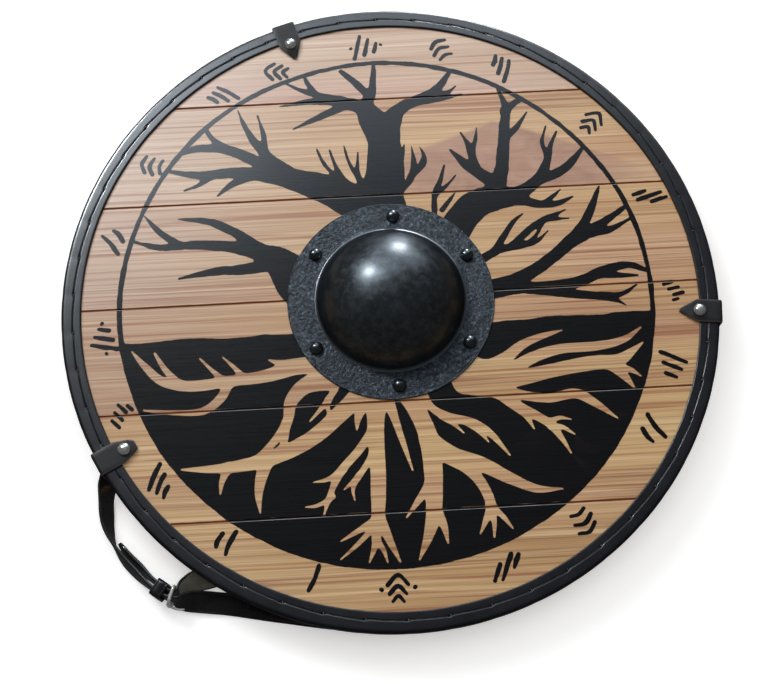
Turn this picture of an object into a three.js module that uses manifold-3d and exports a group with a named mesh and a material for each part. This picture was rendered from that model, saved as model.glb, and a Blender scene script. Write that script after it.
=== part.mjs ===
// Wooden round shield: six planks edge to edge, a stitched leather edge, a steel
// boss over the hand hole, a wooden grip bar behind it, three riveted leather
// clips and two leather straps joined by a buckle.
//
// Millimetres. +Z up, towards the shield's front. +X runs along the planks.
// The origin is the centre of the grip's flat underside, on the shield's axis:
// the shield lies on that face.
import * as THREE from 'three';
import { mergeVertices } from 'three/addons/utils/BufferGeometryUtils.js';
import Module from 'manifold-3d';

// ---- driving dimensions ----------------------------------------------------
const GAP = 0.3;              // clearance between touching pieces
const SHIELD_R = 305;         // outer radius over the leather
const LEATHER_T = 2;
const LEATHER_INNER_R = 286.4;
const RIM_SEGMENTS = 64;
const BOARD_T = 10;
const BOARD_BACK = 28;        // height of the planks' backs, the grip's depth
const BOARD_FRONT = BOARD_BACK + BOARD_T;
const BOARD_R = SHIELD_R - LEATHER_T - GAP;

const PLANKS = 6;
const PLANK_W = 101.67;
const SEAM_OFFSET = 4.56;     // the middle seam sits a little off the axis
const SEAM_CHAMFER = 1.2;
const SEAM_DEPTH = 1.4;

const HAND_HOLE_R = 62;

const LACE_R = 294;           // row of lacing
const LACE_W = 3;
const LACE_D = 1.4;
const LACE_POSTS = 6;
const LACE_POST_A0 = 10;      // degrees, clear of seams and clips
const LACE_POST_W = 1.8;

const BOSS_FLANGE_R = 96.3;
const BOSS_T = 1.8;
const BOSS_SPHERE_R = 70;
const BOSS_RISE = 56;         // dome height over the flange
const BOSS_SEGMENTS = 44;
const BOSS_RIVET_R = 83.4;    // pitch radius
const BOSS_RIVET_ANGLES = [85.5, 28.7, -33, -88, -148.3, 144.8];
const BOSS_RIVET_HEAD_R = 6.2;
const BOSS_RIVET_HEAD_H = 5.4;
const SHANK_R = 2.1;
const SHANK_HOLE_R = 2.5;
const TAIL_R = 4.4;
const TAIL_T = 2.2;
const RIVET_SEGMENTS = 10;

const GRIP_L = 480;
const GRIP_W = 36;
const GRIP_WAIST_W = 29;      // where the hand closes on it
const GRIP_WAIST_L = 120;
const GRIP_BEVEL = 3;
const GRIP_TAPER_L = 62;      // underside rises towards each end
const GRIP_END_T = 13;

const CLIP_W = 22;
const CLIP_T = 2;
const CLIP_SHOULDER_R = 284;
const CLIP_TIP_R = 267.5;
const CLIP_RIVET_HEAD_R = 5.7;
const CLIP_RIVET_HEAD_H = 4.2;
const CLIPS = [
  { name: 'top', angle: 107.1, rivetR: 282.8 },
  { name: 'right', angle: -5.4, rivetR: 285.6 },
  { name: 'left', angle: -152.3, rivetR: 278.4 },
];

const STRAP_W = 20;
const STRAP_T = 3;
const STRAP_UNDER_Z = BOARD_BACK - LEATHER_T - CLIP_T - 3 * GAP - STRAP_T / 2; // under a clip's back
const STRAP_FLOOR_Z = STRAP_T / 2 + GAP;
const STRAP_APART = 6;        // between the two straps' middles at the buckle
const STRAP_STEPS = 2;        // sweep steps for each route point
const BUCKLE_WIRE_R = 1.5;
const KEEPER_W = 11;
const KEEPER_T = 2;

// ---- solids ----------------------------------------------------------------
const wasm = await Module();
wasm.setup();

function bare(geometry) {
  const g = geometry.clone();
  for (const name of Object.keys(g.attributes)) if (name !== 'position') g.deleteAttribute(name);
  return mergeVertices(g, 1e-4);
}

function solid(geometry) {
  const g = bare(geometry);
  const vertProperties = new Float32Array(g.attributes.position.array);
  const index = Array.from(g.index.array);
  let triVerts = [];
  for (let i = 0; i < index.length; i += 3) {
    const [a, b, c] = [index[i], index[i + 1], index[i + 2]];
    if (a !== b && b !== c && c !== a) triVerts.push(a, b, c);
  }
  let volume = 0;
  const p = (i, k) => vertProperties[3 * i + k];
  for (let i = 0; i < triVerts.length; i += 3) {
    const [a, b, c] = [triVerts[i], triVerts[i + 1], triVerts[i + 2]];
    volume += p(a, 0) * (p(b, 1) * p(c, 2) - p(b, 2) * p(c, 1))
      - p(a, 1) * (p(b, 0) * p(c, 2) - p(b, 2) * p(c, 0))
      + p(a, 2) * (p(b, 0) * p(c, 1) - p(b, 1) * p(c, 0));
  }
  if (volume < 0) {
    for (let i = 0; i < triVerts.length; i += 3) [triVerts[i + 1], triVerts[i + 2]] = [triVerts[i + 2], triVerts[i + 1]];
  }
  return new wasm.Manifold(new wasm.Mesh({ numProp: 3, vertProperties, triVerts: new Uint32Array(triVerts) }));
}

function geometryOf(manifold) {
  const mesh = manifold.getMesh();
  const n = mesh.numProp;
  const positions = new Float32Array((mesh.vertProperties.length / n) * 3);
  for (let i = 0; i < positions.length / 3; i++) {
    for (let k = 0; k < 3; k++) positions[3 * i + k] = mesh.vertProperties[n * i + k];
  }
  const g = new THREE.BufferGeometry();
  g.setAttribute('position', new THREE.BufferAttribute(positions, 3));
  g.setIndex(new THREE.BufferAttribute(new Uint32Array(mesh.triVerts), 1));
  g.computeVertexNormals();
  return g;
}

// A body of revolution about +Z from [radius, height] pairs.
function lathe(profile, segments) {
  const g = new THREE.LatheGeometry(profile.map(([r, z]) => new THREE.Vector2(r, z)), segments);
  return g.rotateX(Math.PI / 2);
}

// An upright round rod between two heights, its corners on the lathe's phase.
function rod(radius, z0, z1, segments, x = 0, y = 0) {
  const g = new THREE.CylinderGeometry(radius, radius, z1 - z0, segments);
  return g.rotateX(Math.PI / 2).translate(x, y, (z0 + z1) / 2);
}

function post(width, z0, z1, x, y, angle) {
  return new THREE.BoxGeometry(width, width, z1 - z0).rotateZ(angle).translate(x, y, (z0 + z1) / 2);
}

const rad = THREE.MathUtils.degToRad;
const polar = (r, degrees) => [r * Math.cos(rad(degrees)), r * Math.sin(rad(degrees))];

// ---- materials -------------------------------------------------------------
const wood = new THREE.MeshStandardMaterial({ color: 0xcfa67c, roughness: 0.42, metalness: 0 });
const woodPlain = new THREE.MeshStandardMaterial({ color: 0xb98d60, roughness: 0.6, metalness: 0 });
const blackLeather = new THREE.MeshStandardMaterial({ color: 0x1c1d20, roughness: 0.5, metalness: 0 });
const thread = new THREE.MeshStandardMaterial({ color: 0x0c0d12, roughness: 0.8, metalness: 0 });
const blackSteel = new THREE.MeshStandardMaterial({ color: 0x24272b, roughness: 0.35, metalness: 0.7 });
const brightSteel = new THREE.MeshStandardMaterial({ color: 0xc9c9c6, roughness: 0.25, metalness: 1 });

const shield = new THREE.Group();
function add(name, geometry, material) {
  const mesh = new THREE.Mesh(geometry, material);
  mesh.name = name;
  shield.add(mesh);
  return mesh;
}

// ---- positions shared by the pieces ----------------------------------------
const bossRivets = BOSS_RIVET_ANGLES.map((a) => polar(BOSS_RIVET_R, a));
const inGrip = ([x]) => Math.abs(x) < GRIP_W / 2 - TAIL_R;
const clipRivets = CLIPS.map((c) => polar(c.rivetR, c.angle));
const lacePosts = Array.from({ length: LACE_POSTS }, (_, i) => LACE_POST_A0 + (360 / LACE_POSTS) * i);

const shankHoles = [...bossRivets, ...clipRivets]
  .map(([x, y]) => solid(rod(SHANK_HOLE_R, -10, 60, 10, x, y)));
const laceHoles = lacePosts.map((a) => solid(post(LACE_POST_W + 2 * GAP, 20, 50, ...polar(LACE_R, a), rad(a))));
const cut = (body, holes) => holes.reduce((left, hole) => left.subtract(hole), body);

// ---- planks ----------------------------------------------------------------
// Each plank is a chamfered board clipped by the round outline.
const disc = solid(rod(BOARD_R, BOARD_BACK, BOARD_FRONT, RIM_SEGMENTS));
const handHole = solid(rod(HAND_HOLE_R, BOARD_BACK - 5, BOARD_FRONT + 5, 40));
const seamY = (k) => SEAM_OFFSET + PLANK_W * (PLANKS / 2 - k); // seam above plank k + 1
for (let k = 0; k < PLANKS; k++) {
  const top = k === 0 ? SHIELD_R + 10 : seamY(k) - GAP / 2;
  const bottom = k === PLANKS - 1 ? -SHIELD_R - 10 : seamY(k + 1) + GAP / 2;
  const section = new THREE.Shape();
  section.moveTo(bottom, BOARD_BACK - 1);
  section.lineTo(top, BOARD_BACK - 1);
  section.lineTo(top, BOARD_FRONT - SEAM_DEPTH);
  section.lineTo(top - SEAM_CHAMFER, BOARD_FRONT + 0.001);
  section.lineTo(bottom + SEAM_CHAMFER, BOARD_FRONT + 0.001);
  section.lineTo(bottom, BOARD_FRONT - SEAM_DEPTH);
  const board = new THREE.ExtrudeGeometry(section, { depth: 2 * SHIELD_R + 20, bevelEnabled: false });
  // section (y, z) with the depth along x
  board.applyMatrix4(new THREE.Matrix4().set(0, 0, 1, -SHIELD_R - 10, 1, 0, 0, 0, 0, 1, 0, 0, 0, 0, 0, 1));
  add(`plank_${k + 1}`, geometryOf(cut(solid(board).intersect(disc).subtract(handHole), [...shankHoles, ...laceHoles])), wood);
}

// ---- leather edge and its lacing -------------------------------------------
const legTop = BOARD_FRONT + GAP;
const legBottom = BOARD_BACK - GAP;
const faceTop = legTop + LEATHER_T;
const faceBottom = legBottom - LEATHER_T;
const edgeProfile = [
  [LEATHER_INNER_R, legTop],
  [LEATHER_INNER_R, faceTop],
  [LACE_R - LACE_W / 2, faceTop],
  [LACE_R, faceTop - LACE_D],
  [LACE_R + LACE_W / 2, faceTop],
  [SHIELD_R - 1.5, faceTop],
  [SHIELD_R, faceTop - 1.8],
  [SHIELD_R, faceBottom + 1.8],
  [SHIELD_R - 1.5, faceBottom],
  [LACE_R + LACE_W / 2, faceBottom],
  [LACE_R, faceBottom + LACE_D],
  [LACE_R - LACE_W / 2, faceBottom],
  [LEATHER_INNER_R, faceBottom],
  [LEATHER_INNER_R, legBottom],
  [BOARD_R + GAP, legBottom],
  [BOARD_R + GAP, legTop],
];
const edge = solid(lathe([...edgeProfile, edgeProfile[0]], RIM_SEGMENTS));
add('edge_leather', geometryOf(cut(edge, [...shankHoles.slice(bossRivets.length), ...laceHoles])), blackLeather);

// The lace lies in the pressed groove on both faces and passes through the board.
const laceHalf = LACE_W / 2 - 0.55;
const laceRing = (face, sign) => {
  const profile = [[LACE_R - laceHalf, face], [LACE_R + laceHalf, face], [LACE_R, face - sign * (LACE_D - 0.5)]];
  return solid(lathe([...profile, profile[0]], RIM_SEGMENTS));
};
let lace = laceRing(faceTop, 1).add(laceRing(faceBottom, -1));
for (const a of lacePosts) {
  lace = lace.add(solid(post(LACE_POST_W, faceBottom + 0.1, faceTop - 0.1, ...polar(LACE_R, a), rad(a))));
}
add('edge_lacing', geometryOf(lace), thread);

// ---- boss ------------------------------------------------------------------
const flangeTop = BOARD_FRONT + GAP + BOSS_T;
const sphereZ = flangeTop + BOSS_RISE - BOSS_SPHERE_R;
const bossProfile = [];
const OUTER_END = 74;         // polar angle where the root fillet begins
for (let i = 0; i <= 7; i++) {
  const t = rad((OUTER_END * i) / 7);
  bossProfile.push([BOSS_SPHERE_R * Math.sin(t), sphereZ + BOSS_SPHERE_R * Math.cos(t)]);
}
bossProfile.push([BOSS_SPHERE_R - 1.6, flangeTop + 1.6], [BOSS_SPHERE_R + 0.8, flangeTop]);
bossProfile.push([BOSS_FLANGE_R - 0.6, flangeTop], [BOSS_FLANGE_R, flangeTop - 0.7], [BOSS_FLANGE_R, flangeTop - BOSS_T]);
const innerR = BOSS_SPHERE_R - BOSS_T;
const innerEnd = Math.acos((flangeTop - BOSS_T - sphereZ) / innerR);
for (let i = 6; i >= 0; i--) {
  const t = (innerEnd * i) / 6;
  bossProfile.push([innerR * Math.sin(t), sphereZ + innerR * Math.cos(t)]);
}
bossProfile[0][0] = 0;
bossProfile[bossProfile.length - 1][0] = 0;
add('boss', geometryOf(cut(solid(lathe(bossProfile, BOSS_SEGMENTS)), shankHoles.slice(0, bossRivets.length))), blackSteel);

// A rivet: domed head on the front, shank, hammered tail behind.
function rivet(headR, headH, headZ, tailTop, segments) {
  const profile = [[0, headZ + headH]];
  for (let i = 1; i <= 3; i++) {
    const t = rad(30 * i);
    profile.push([headR * Math.sin(t), headZ + headH * Math.cos(t)]);
  }
  profile.push([SHANK_R, headZ], [SHANK_R, tailTop], [TAIL_R, tailTop], [TAIL_R - 1, tailTop - TAIL_T], [0, tailTop - TAIL_T]);
  return lathe(profile, segments);
}
const GRIP_SINK = 4.2;        // depth of the recess for a tail in the grip
bossRivets.forEach((at, i) => {
  const tailTop = inGrip(at) ? GRIP_SINK - GAP : legBottom;
  const mesh = add(`boss_rivet_${i + 1}`,
    geometryOf(solid(rivet(BOSS_RIVET_HEAD_R, BOSS_RIVET_HEAD_H, flangeTop + GAP, tailTop, RIVET_SEGMENTS))), blackSteel);
  mesh.position.set(at[0], at[1], 0);
});

// ---- grip ------------------------------------------------------------------
// A bar across the planks, waisted at the hand hole, its underside flat.
const outline = [];
const OUTLINE_STEPS = 6;
for (let i = -OUTLINE_STEPS; i <= OUTLINE_STEPS; i++) {
  const y = (GRIP_L / 2 - GRIP_BEVEL) * (i / OUTLINE_STEPS);
  const waist = Math.exp(-((2 * y / GRIP_WAIST_L) ** 4));
  const end = Math.max(0, (Math.abs(y) - (GRIP_L / 2 - 70)) / 70);
  const half = GRIP_W / 2 - GRIP_BEVEL - waist * (GRIP_W - GRIP_WAIST_W) / 2 - 5 * end * end;
  outline.push(new THREE.Vector2(half, y));
}
const plan = new THREE.Shape([...outline, ...outline.slice().reverse().map((p) => new THREE.Vector2(-p.x, p.y))]);
const gripDepth = BOARD_BACK - GAP;
let grip = solid(new THREE.ExtrudeGeometry(plan, {
  depth: gripDepth - 2 * GRIP_BEVEL, bevelEnabled: true, bevelThickness: GRIP_BEVEL, bevelSize: GRIP_BEVEL, bevelSegments: 1,
}).translate(0, 0, GRIP_BEVEL));
for (const side of [1, -1]) {
  const wedge = new THREE.Shape([
    new THREE.Vector2(side * (GRIP_L / 2 - GRIP_TAPER_L), -5),
    new THREE.Vector2(side * (GRIP_L / 2 - GRIP_TAPER_L), 0),
    new THREE.Vector2(side * (GRIP_L / 2 + 1), gripDepth - GRIP_END_T),
    new THREE.Vector2(side * (GRIP_L / 2 + 1), -5),
  ]);
  const block = new THREE.ExtrudeGeometry(wedge, { depth: 60, bevelEnabled: false });
  block.applyMatrix4(new THREE.Matrix4().set(0, 0, 1, -30, 1, 0, 0, 0, 0, 1, 0, 0, 0, 0, 0, 1));
  grip = grip.subtract(solid(block));
}
bossRivets.forEach((at, i) => {
  if (!inGrip(at)) return;
  grip = grip.subtract(shankHoles[i]).subtract(solid(rod(TAIL_R + 0.6, -1, GRIP_SINK, 16, ...at)));
});
add('grip', geometryOf(grip), woodPlain);

// ---- rim clips and their rivets --------------------------------------------
CLIPS.forEach((clip, i) => {
  const slopeR = clip.rivetR - CLIP_RIVET_HEAD_R - 0.8; // inside this the front leg leans down to the wood
  const webIn = SHIELD_R + GAP;
  const webOut = webIn + CLIP_T;
  const top = faceTop + GAP + CLIP_T;
  const bottom = faceBottom - GAP - CLIP_T;
  const tipDrop = LEATHER_T;
  const section = new THREE.Shape([
    [CLIP_TIP_R - 1, top - tipDrop], [slopeR, top], [webOut - 1, top], [webOut, top - 1],
    [webOut, bottom + 1], [webOut - 1, bottom], [CLIP_TIP_R - 1, bottom], [CLIP_TIP_R - 1, bottom + CLIP_T],
    [webIn, bottom + CLIP_T], [webIn, top - CLIP_T], [slopeR, top - CLIP_T], [CLIP_TIP_R - 1, top - tipDrop - CLIP_T],
  ].map(([r, z]) => new THREE.Vector2(r, z)));
  const bent = new THREE.ExtrudeGeometry(section, { depth: CLIP_W, bevelEnabled: false });
  // section (radial, z) with the depth across the clip
  bent.applyMatrix4(new THREE.Matrix4().set(1, 0, 0, 0, 0, 0, -1, CLIP_W / 2, 0, 1, 0, 0, 0, 0, 0, 1));
  const tongue = new THREE.Shape([
    [webOut + 5, -CLIP_W / 2 - 1], [webOut + 5, CLIP_W / 2 + 1], [CLIP_SHOULDER_R, CLIP_W / 2 + 1], [CLIP_SHOULDER_R, CLIP_W / 2],
    [CLIP_TIP_R, 1.2], [CLIP_TIP_R, -1.2], [CLIP_SHOULDER_R, -CLIP_W / 2], [CLIP_SHOULDER_R, -CLIP_W / 2 - 1],
  ].map(([x, y]) => new THREE.Vector2(x, y)));
  const mask = new THREE.ExtrudeGeometry(tongue, { depth: 60, bevelEnabled: false });
  const turned = (g) => solid(g.rotateZ(rad(clip.angle)));
  const body = turned(bent).intersect(turned(mask)).subtract(shankHoles[bossRivets.length + i]);
  add(`rim_clip_${clip.name}`, geometryOf(body), blackLeather);

  const tailTop = STRAP_UNDER_Z - STRAP_T / 2 - 3 * GAP;
  const mesh = add(`clip_rivet_${clip.name}`,
    geometryOf(solid(rivet(CLIP_RIVET_HEAD_R, CLIP_RIVET_HEAD_H, top + GAP, tailTop, RIVET_SEGMENTS))), brightSteel);
  mesh.position.set(clipRivets[i][0], clipRivets[i][1], 0);
});

// ---- straps ----------------------------------------------------------------
// A route is a list of [x, y, z, lean]. Lean is the angle in degrees of the
// strap's width from upright, towards the right of the way it runs: 0 stands on
// edge, -90 lies flat with the outer face up.
class Route {
  constructor(points) {
    this.spans = points.length - 1;
    this.line = new THREE.CatmullRomCurve3(points.map(([x, y, z]) => new THREE.Vector3(x, y, z)), false, 'catmullrom', 0.5);
    this.roll = new THREE.CatmullRomCurve3(points.map((p, i) => new THREE.Vector3(p[3], i, 0)), false, 'catmullrom', 0.5);
  }

  at(u) {
    const centre = this.line.getPoint(u);
    const along = this.line.getTangent(u, new THREE.Vector3());
    const lean = rad(this.roll.getPoint(u).x);
    const out = new THREE.Vector3(along.y, -along.x, 0).normalize();
    const up = new THREE.Vector3().crossVectors(out, along).normalize();
    const width = up.multiplyScalar(Math.cos(lean)).addScaledVector(out, Math.sin(lean));
    const face = new THREE.Vector3().crossVectors(along, width).normalize();
    return { centre, along, out, width, face };
  }
}

// A flat band swept along a route: a box whose long axis is bent onto it.
function band(route) {
  const steps = route.spans * STRAP_STEPS;
  const g = new THREE.BoxGeometry(1, STRAP_W, STRAP_T, steps, 1, 1);
  const p = g.attributes.position;
  for (let i = 0; i < p.count; i++) {
    const { centre, width, face } = route.at(p.getX(i) + 0.5);
    const v = centre.clone().addScaledVector(width, p.getY(i)).addScaledVector(face, p.getZ(i));
    p.setXYZ(i, v.x, v.y, v.z);
  }
  return solid(g);
}

const [topRivet, rightRivet, leftRivet] = clipRivets;
const F = STRAP_FLOOR_Z;
const U = STRAP_UNDER_Z;
// The carrying strap: left clip, out round the lower left, along the bottom
// edge and under the board to the right clip.
const carry = new Route([
  [leftRivet[0] + 9.5, leftRivet[1] + 9.5, U, 90],
  [leftRivet[0], leftRivet[1], U, 90],
  [-257.5, -140.5, U - 2.5, 82],
  [-264.8, -152.5, 15, 52],
  [-267.6, -166, 11.2, 30],
  [-267.4, -181, 10.7, 27],
  [-265.8, -194, 10.7, 17],
  [-261, -209, 10.9, -2],
  [-252, -223.5, 11.4, -14],
  [-240.5, -236.5, 12.2, -15],
  [-229, -248, 13.5, -6],
  [-217.5, -257, 14.1, -3],
  [-208, -261.5, 14, -8],
  [-199, -263, 11.2, -42],
  [-188, -263.3, 7, -70],
  [-173, -264.8, 2.9, -88],
  [-155, -267.5, F, -90],
  [-110, -276.5, F, -90],
  [-48, -286.5, F, -90],
  [20, -285, F, -90],
  [95, -262, F, -90],
  [160, -221, F, -90],
  [215, -167, F, -90],
  [250, -112, F + 0.6, -90],
  [270, -72, 7.5, -90],
  [278.5, -51, 14.5, -90],
  [282.6, -40, 19.6, -90],
  [rightRivet[0] - 0.3, rightRivet[1] - 6, U - 0.4, -90],
  [rightRivet[0] + 0.2, rightRivet[1] + 11, U - 0.3, -90],
]);
// The buckle strap: its tip beside the carrying strap, through keeper and
// buckle, then under the board to the top clip.
const beside = (index, apart) => {
  const { centre, out } = carry.at(index / carry.spans);
  return centre.clone().addScaledVector(out, -apart);
};
const lean = [-8, -14, -15, -6, -3, -8];
const besides = [7.1, 8, 9, 10, 11, 12].map((index, i) => {
  const at = beside(index, [4.8, 5.6, STRAP_APART, STRAP_APART, STRAP_APART, STRAP_APART][i]);
  return [at.x, at.y, at.z, lean[i]];
});
const buckled = new Route([
  ...besides,
  [-196.5, -249.5, 10.8, -42],
  [-186.5, -244.5, 6.6, -70],
  [-172, -241, 2.9, -88],
  [-142, -233, F, -90],
  [-109, -206, F, -90],
  [-91, -160, F, -90],
  [-85, -90, F, -90],
  [-84, 0, F, -90],
  [-83.5, 90, F, -90],
  [-83.2, 170, F, -90],
  [-83, 215, 4, -90],
  [-82.8, 243, 12.5, -90],
  [topRivet[0], topRivet[1] - 8, U - 0.5, -90],
  [topRivet[0], topRivet[1] + 11, U, -90],
]);
const strapHoles = shankHoles.slice(bossRivets.length);
add('carrying_strap', geometryOf(cut(band(carry), [strapHoles[1], strapHoles[2]])), blackLeather);
add('buckle_strap', geometryOf(cut(band(buckled), [strapHoles[0]])), blackLeather);

// ---- keeper and buckle -----------------------------------------------------
// Both are upright loops round the two straps, square to the carrying strap.
function loopFrame(index) {
  const { centre, along, out } = carry.at(index / carry.spans);
  const flat = new THREE.Vector3(along.x, along.y, 0).normalize();
  const right = new THREE.Vector3(out.x, out.y, 0);
  const mid = centre.clone().addScaledVector(right, -STRAP_APART / 2);
  return new THREE.Matrix4().makeBasis(right, new THREE.Vector3(0, 0, 1), flat).setPosition(mid);
}
const loopHalfAcross = (STRAP_APART + STRAP_T) / 2 + 1.6;
const loopHalfHigh = STRAP_W / 2 + 0.6;

function roundedRect(hx, hy, r, toPath = THREE.Shape) {
  const s = new toPath();
  s.moveTo(-hx + r, -hy);
  s.lineTo(hx - r, -hy);
  s.quadraticCurveTo(hx, -hy, hx, -hy + r);
  s.lineTo(hx, hy - r);
  s.quadraticCurveTo(hx, hy, hx - r, hy);
  s.lineTo(-hx + r, hy);
  s.quadraticCurveTo(-hx, hy, -hx, hy - r);
  s.lineTo(-hx, -hy + r);
  s.quadraticCurveTo(-hx, -hy, -hx + r, -hy);
  return s;
}
const keeperShape = roundedRect(loopHalfAcross + KEEPER_T, loopHalfHigh + KEEPER_T, 3);
keeperShape.holes.push(roundedRect(loopHalfAcross, loopHalfHigh, 1.2, THREE.Path));
const keeperGeometry = new THREE.ExtrudeGeometry(keeperShape, { depth: KEEPER_W, bevelEnabled: false, curveSegments: 2 });
keeperGeometry.translate(0, 0, -KEEPER_W / 2).applyMatrix4(loopFrame(10.7));
add('keeper', geometryOf(solid(keeperGeometry)), blackLeather);

// The buckle: a wire frame with a tongue along the carrying strap's outer face.
function wireFrame(hx, hy, corner, wireR, turns) {
  const path = roundedRect(hx, hy, corner, THREE.Path).getSpacedPoints(turns).slice(0, turns);
  const ring = new THREE.TorusGeometry(10, wireR, 8, turns);
  const p = ring.attributes.position;
  for (let i = 0; i < p.count; i++) {
    const x = p.getX(i), y = p.getY(i);
    const turn = (Math.atan2(y, x) / (2 * Math.PI) + 1) % 1;
    const k = Math.round(turn * turns) % turns;
    const here = path[k];
    const before = path[(k + turns - 1) % turns];
    const after = path[(k + 1) % turns];
    const dx = after.x - before.x, dy = after.y - before.y;
    const length = Math.hypot(dx, dy);
    const side = Math.hypot(x, y) - 10; // out of the ring
    p.setXYZ(i, here.x + (side * dy) / length, here.y - (side * dx) / length, p.getZ(i));
  }
  return ring;
}
const buckleFrame = loopFrame(11.85);
const wireHx = loopHalfAcross + BUCKLE_WIRE_R + 0.1;
const wireHy = loopHalfHigh + BUCKLE_WIRE_R + 0.1;
const tongue = new THREE.CylinderGeometry(1.1, 1.1, 15, 8).rotateX(Math.PI / 2).rotateY(rad(9))
  .translate(wireHx + 0.2, 0, 6.6);
const buckle = solid(wireFrame(wireHx, wireHy, 3.5, BUCKLE_WIRE_R, 28).applyMatrix4(buckleFrame))
  .add(solid(tongue.applyMatrix4(buckleFrame)));
add('buckle', geometryOf(buckle), brightSteel);

export default shield;
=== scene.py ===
# Looks for the wooden round shield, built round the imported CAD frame.
# Lengths in the helper functions are millimetres; they become metres when a mesh is made.
import math

import bmesh
import bpy
import numpy as np
from mathutils import Matrix, Vector
from mathutils.geometry import delaunay_2d_cdt


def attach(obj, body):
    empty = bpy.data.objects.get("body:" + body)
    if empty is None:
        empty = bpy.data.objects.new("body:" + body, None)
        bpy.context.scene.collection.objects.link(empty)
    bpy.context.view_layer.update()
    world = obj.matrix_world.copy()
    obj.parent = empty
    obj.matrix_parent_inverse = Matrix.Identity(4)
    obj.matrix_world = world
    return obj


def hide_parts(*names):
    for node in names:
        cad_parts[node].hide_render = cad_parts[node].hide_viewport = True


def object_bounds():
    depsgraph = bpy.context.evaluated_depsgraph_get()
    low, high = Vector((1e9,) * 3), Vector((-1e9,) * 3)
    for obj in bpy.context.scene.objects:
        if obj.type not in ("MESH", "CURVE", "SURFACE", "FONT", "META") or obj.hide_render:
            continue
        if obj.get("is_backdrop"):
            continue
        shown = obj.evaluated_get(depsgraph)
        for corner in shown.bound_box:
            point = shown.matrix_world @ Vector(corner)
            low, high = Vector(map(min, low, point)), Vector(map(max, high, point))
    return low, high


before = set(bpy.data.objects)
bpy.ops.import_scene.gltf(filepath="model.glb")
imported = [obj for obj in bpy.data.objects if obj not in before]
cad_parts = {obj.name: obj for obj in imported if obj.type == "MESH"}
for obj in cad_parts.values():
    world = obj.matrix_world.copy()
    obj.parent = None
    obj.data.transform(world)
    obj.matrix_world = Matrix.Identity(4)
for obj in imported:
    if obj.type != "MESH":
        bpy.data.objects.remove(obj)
cad_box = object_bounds()
scene = bpy.context.scene

# ---- camera ------------------------------------------------------------------
cam_data = bpy.data.cameras.new("camera")
cam = bpy.data.objects.new("camera", cam_data)
scene.collection.objects.link(cam)
cam_data.sensor_fit = "HORIZONTAL"
cam_data.sensor_width = 36.0
cam_data.lens = 36.0 * 1400.04 / 771.0
cam_data.clip_start, cam_data.clip_end = 0.05, 60.0
turn = Matrix((
    (0.99831247, 0.05257675, -0.02465576),
    (-0.05760029, 0.95047857, -0.30540578),
    (0.00737752, 0.30631058, 0.95190304),
))
cam.matrix_world = Matrix.Translation((-0.0391234, -0.4336291, 1.2633903)) @ turn.to_4x4()
scene.camera = cam

# ---- light and floor ---------------------------------------------------------
scene.view_settings.view_transform = "Standard"
scene.view_settings.look = "None"
scene.view_settings.exposure = 0.0


def area_light(name, at, aim, size, watts, colour=(1, 1, 1), seen="both", size_y=None):
    data = bpy.data.lights.new(name, "AREA")
    data.energy = watts
    data.color = colour
    data.shape = "RECTANGLE" if size_y else "SQUARE"
    data.size = size
    if size_y:
        data.size_y = size_y
    o = bpy.data.objects.new(name, data)
    scene.collection.objects.link(o)
    o.location = at
    o.rotation_euler = (Vector(aim) - Vector(at)).to_track_quat("-Z", "Y").to_euler()
    o.visible_glossy = seen != "diffuse"
    o.visible_diffuse = seen != "glossy"
    o.visible_camera = False
    return o


area_light("overhead", (0.1, 0.3, 3.0), (0, 0, 0), 3.6, 62, (1.0, 0.985, 0.96), "diffuse")
area_light("key", (-1.5, 1.9, 2.2), (-0.05, 0.05, 0), 1.3, 45, (0.96, 0.98, 1.0), "diffuse")
area_light("window_left", (-1.16, 1.42, 1.76), (0, 0, 0.05), 0.42, 46, (0.90, 0.96, 1.0), "glossy")
area_light("window_low", (0.50, 2.45, 0.42), (0, 0, 0.06), 0.50, 46, (0.93, 0.97, 1.0), "glossy", size_y=0.70)
area_light("window_glare", (-0.52, 1.22, 2.0), (-0.22, 0.20, 0.04), 0.50, 3.3, (0.80, 0.90, 1.0), "glossy")
area_light("window_upper", (0.02, 1.46, 2.0), (0.0, 0.20, 0.04), 1.20, 4.6, (0.78, 0.89, 1.0), "glossy", size_y=0.64)
area_light("far_wall", (0.75, 3.1, 1.35), (0, 0, 0.05), 3.6, 44, (0.84, 0.92, 1.0), "glossy", size_y=2.7)

world = bpy.data.worlds.new("room")
scene.world = world
world.use_nodes = True
wt = world.node_tree
bg = wt.nodes["Background"]
bg.inputs["Color"].default_value = (0.93, 0.95, 1.0, 1)
see = wt.nodes.new("ShaderNodeBackground")
see.inputs["Color"].default_value = (0.90, 0.91, 0.92, 1)
see.inputs["Strength"].default_value = 1.0
path = wt.nodes.new("ShaderNodeLightPath")
mix = wt.nodes.new("ShaderNodeMixShader")
dim = wt.nodes.new("ShaderNodeMath")
dim.operation = "MULTIPLY_ADD"
dim.inputs[1].default_value, dim.inputs[2].default_value = -0.115, 0.16
wt.links.new(path.outputs["Is Glossy Ray"], dim.inputs[0])
wt.links.new(dim.outputs[0], bg.inputs["Strength"])
wt.links.new(path.outputs["Is Camera Ray"], mix.inputs[0])
wt.links.new(bg.outputs[0], mix.inputs[1])
wt.links.new(see.outputs[0], mix.inputs[2])
wt.links.new(mix.outputs[0], wt.nodes["World Output"].inputs["Surface"])

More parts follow.
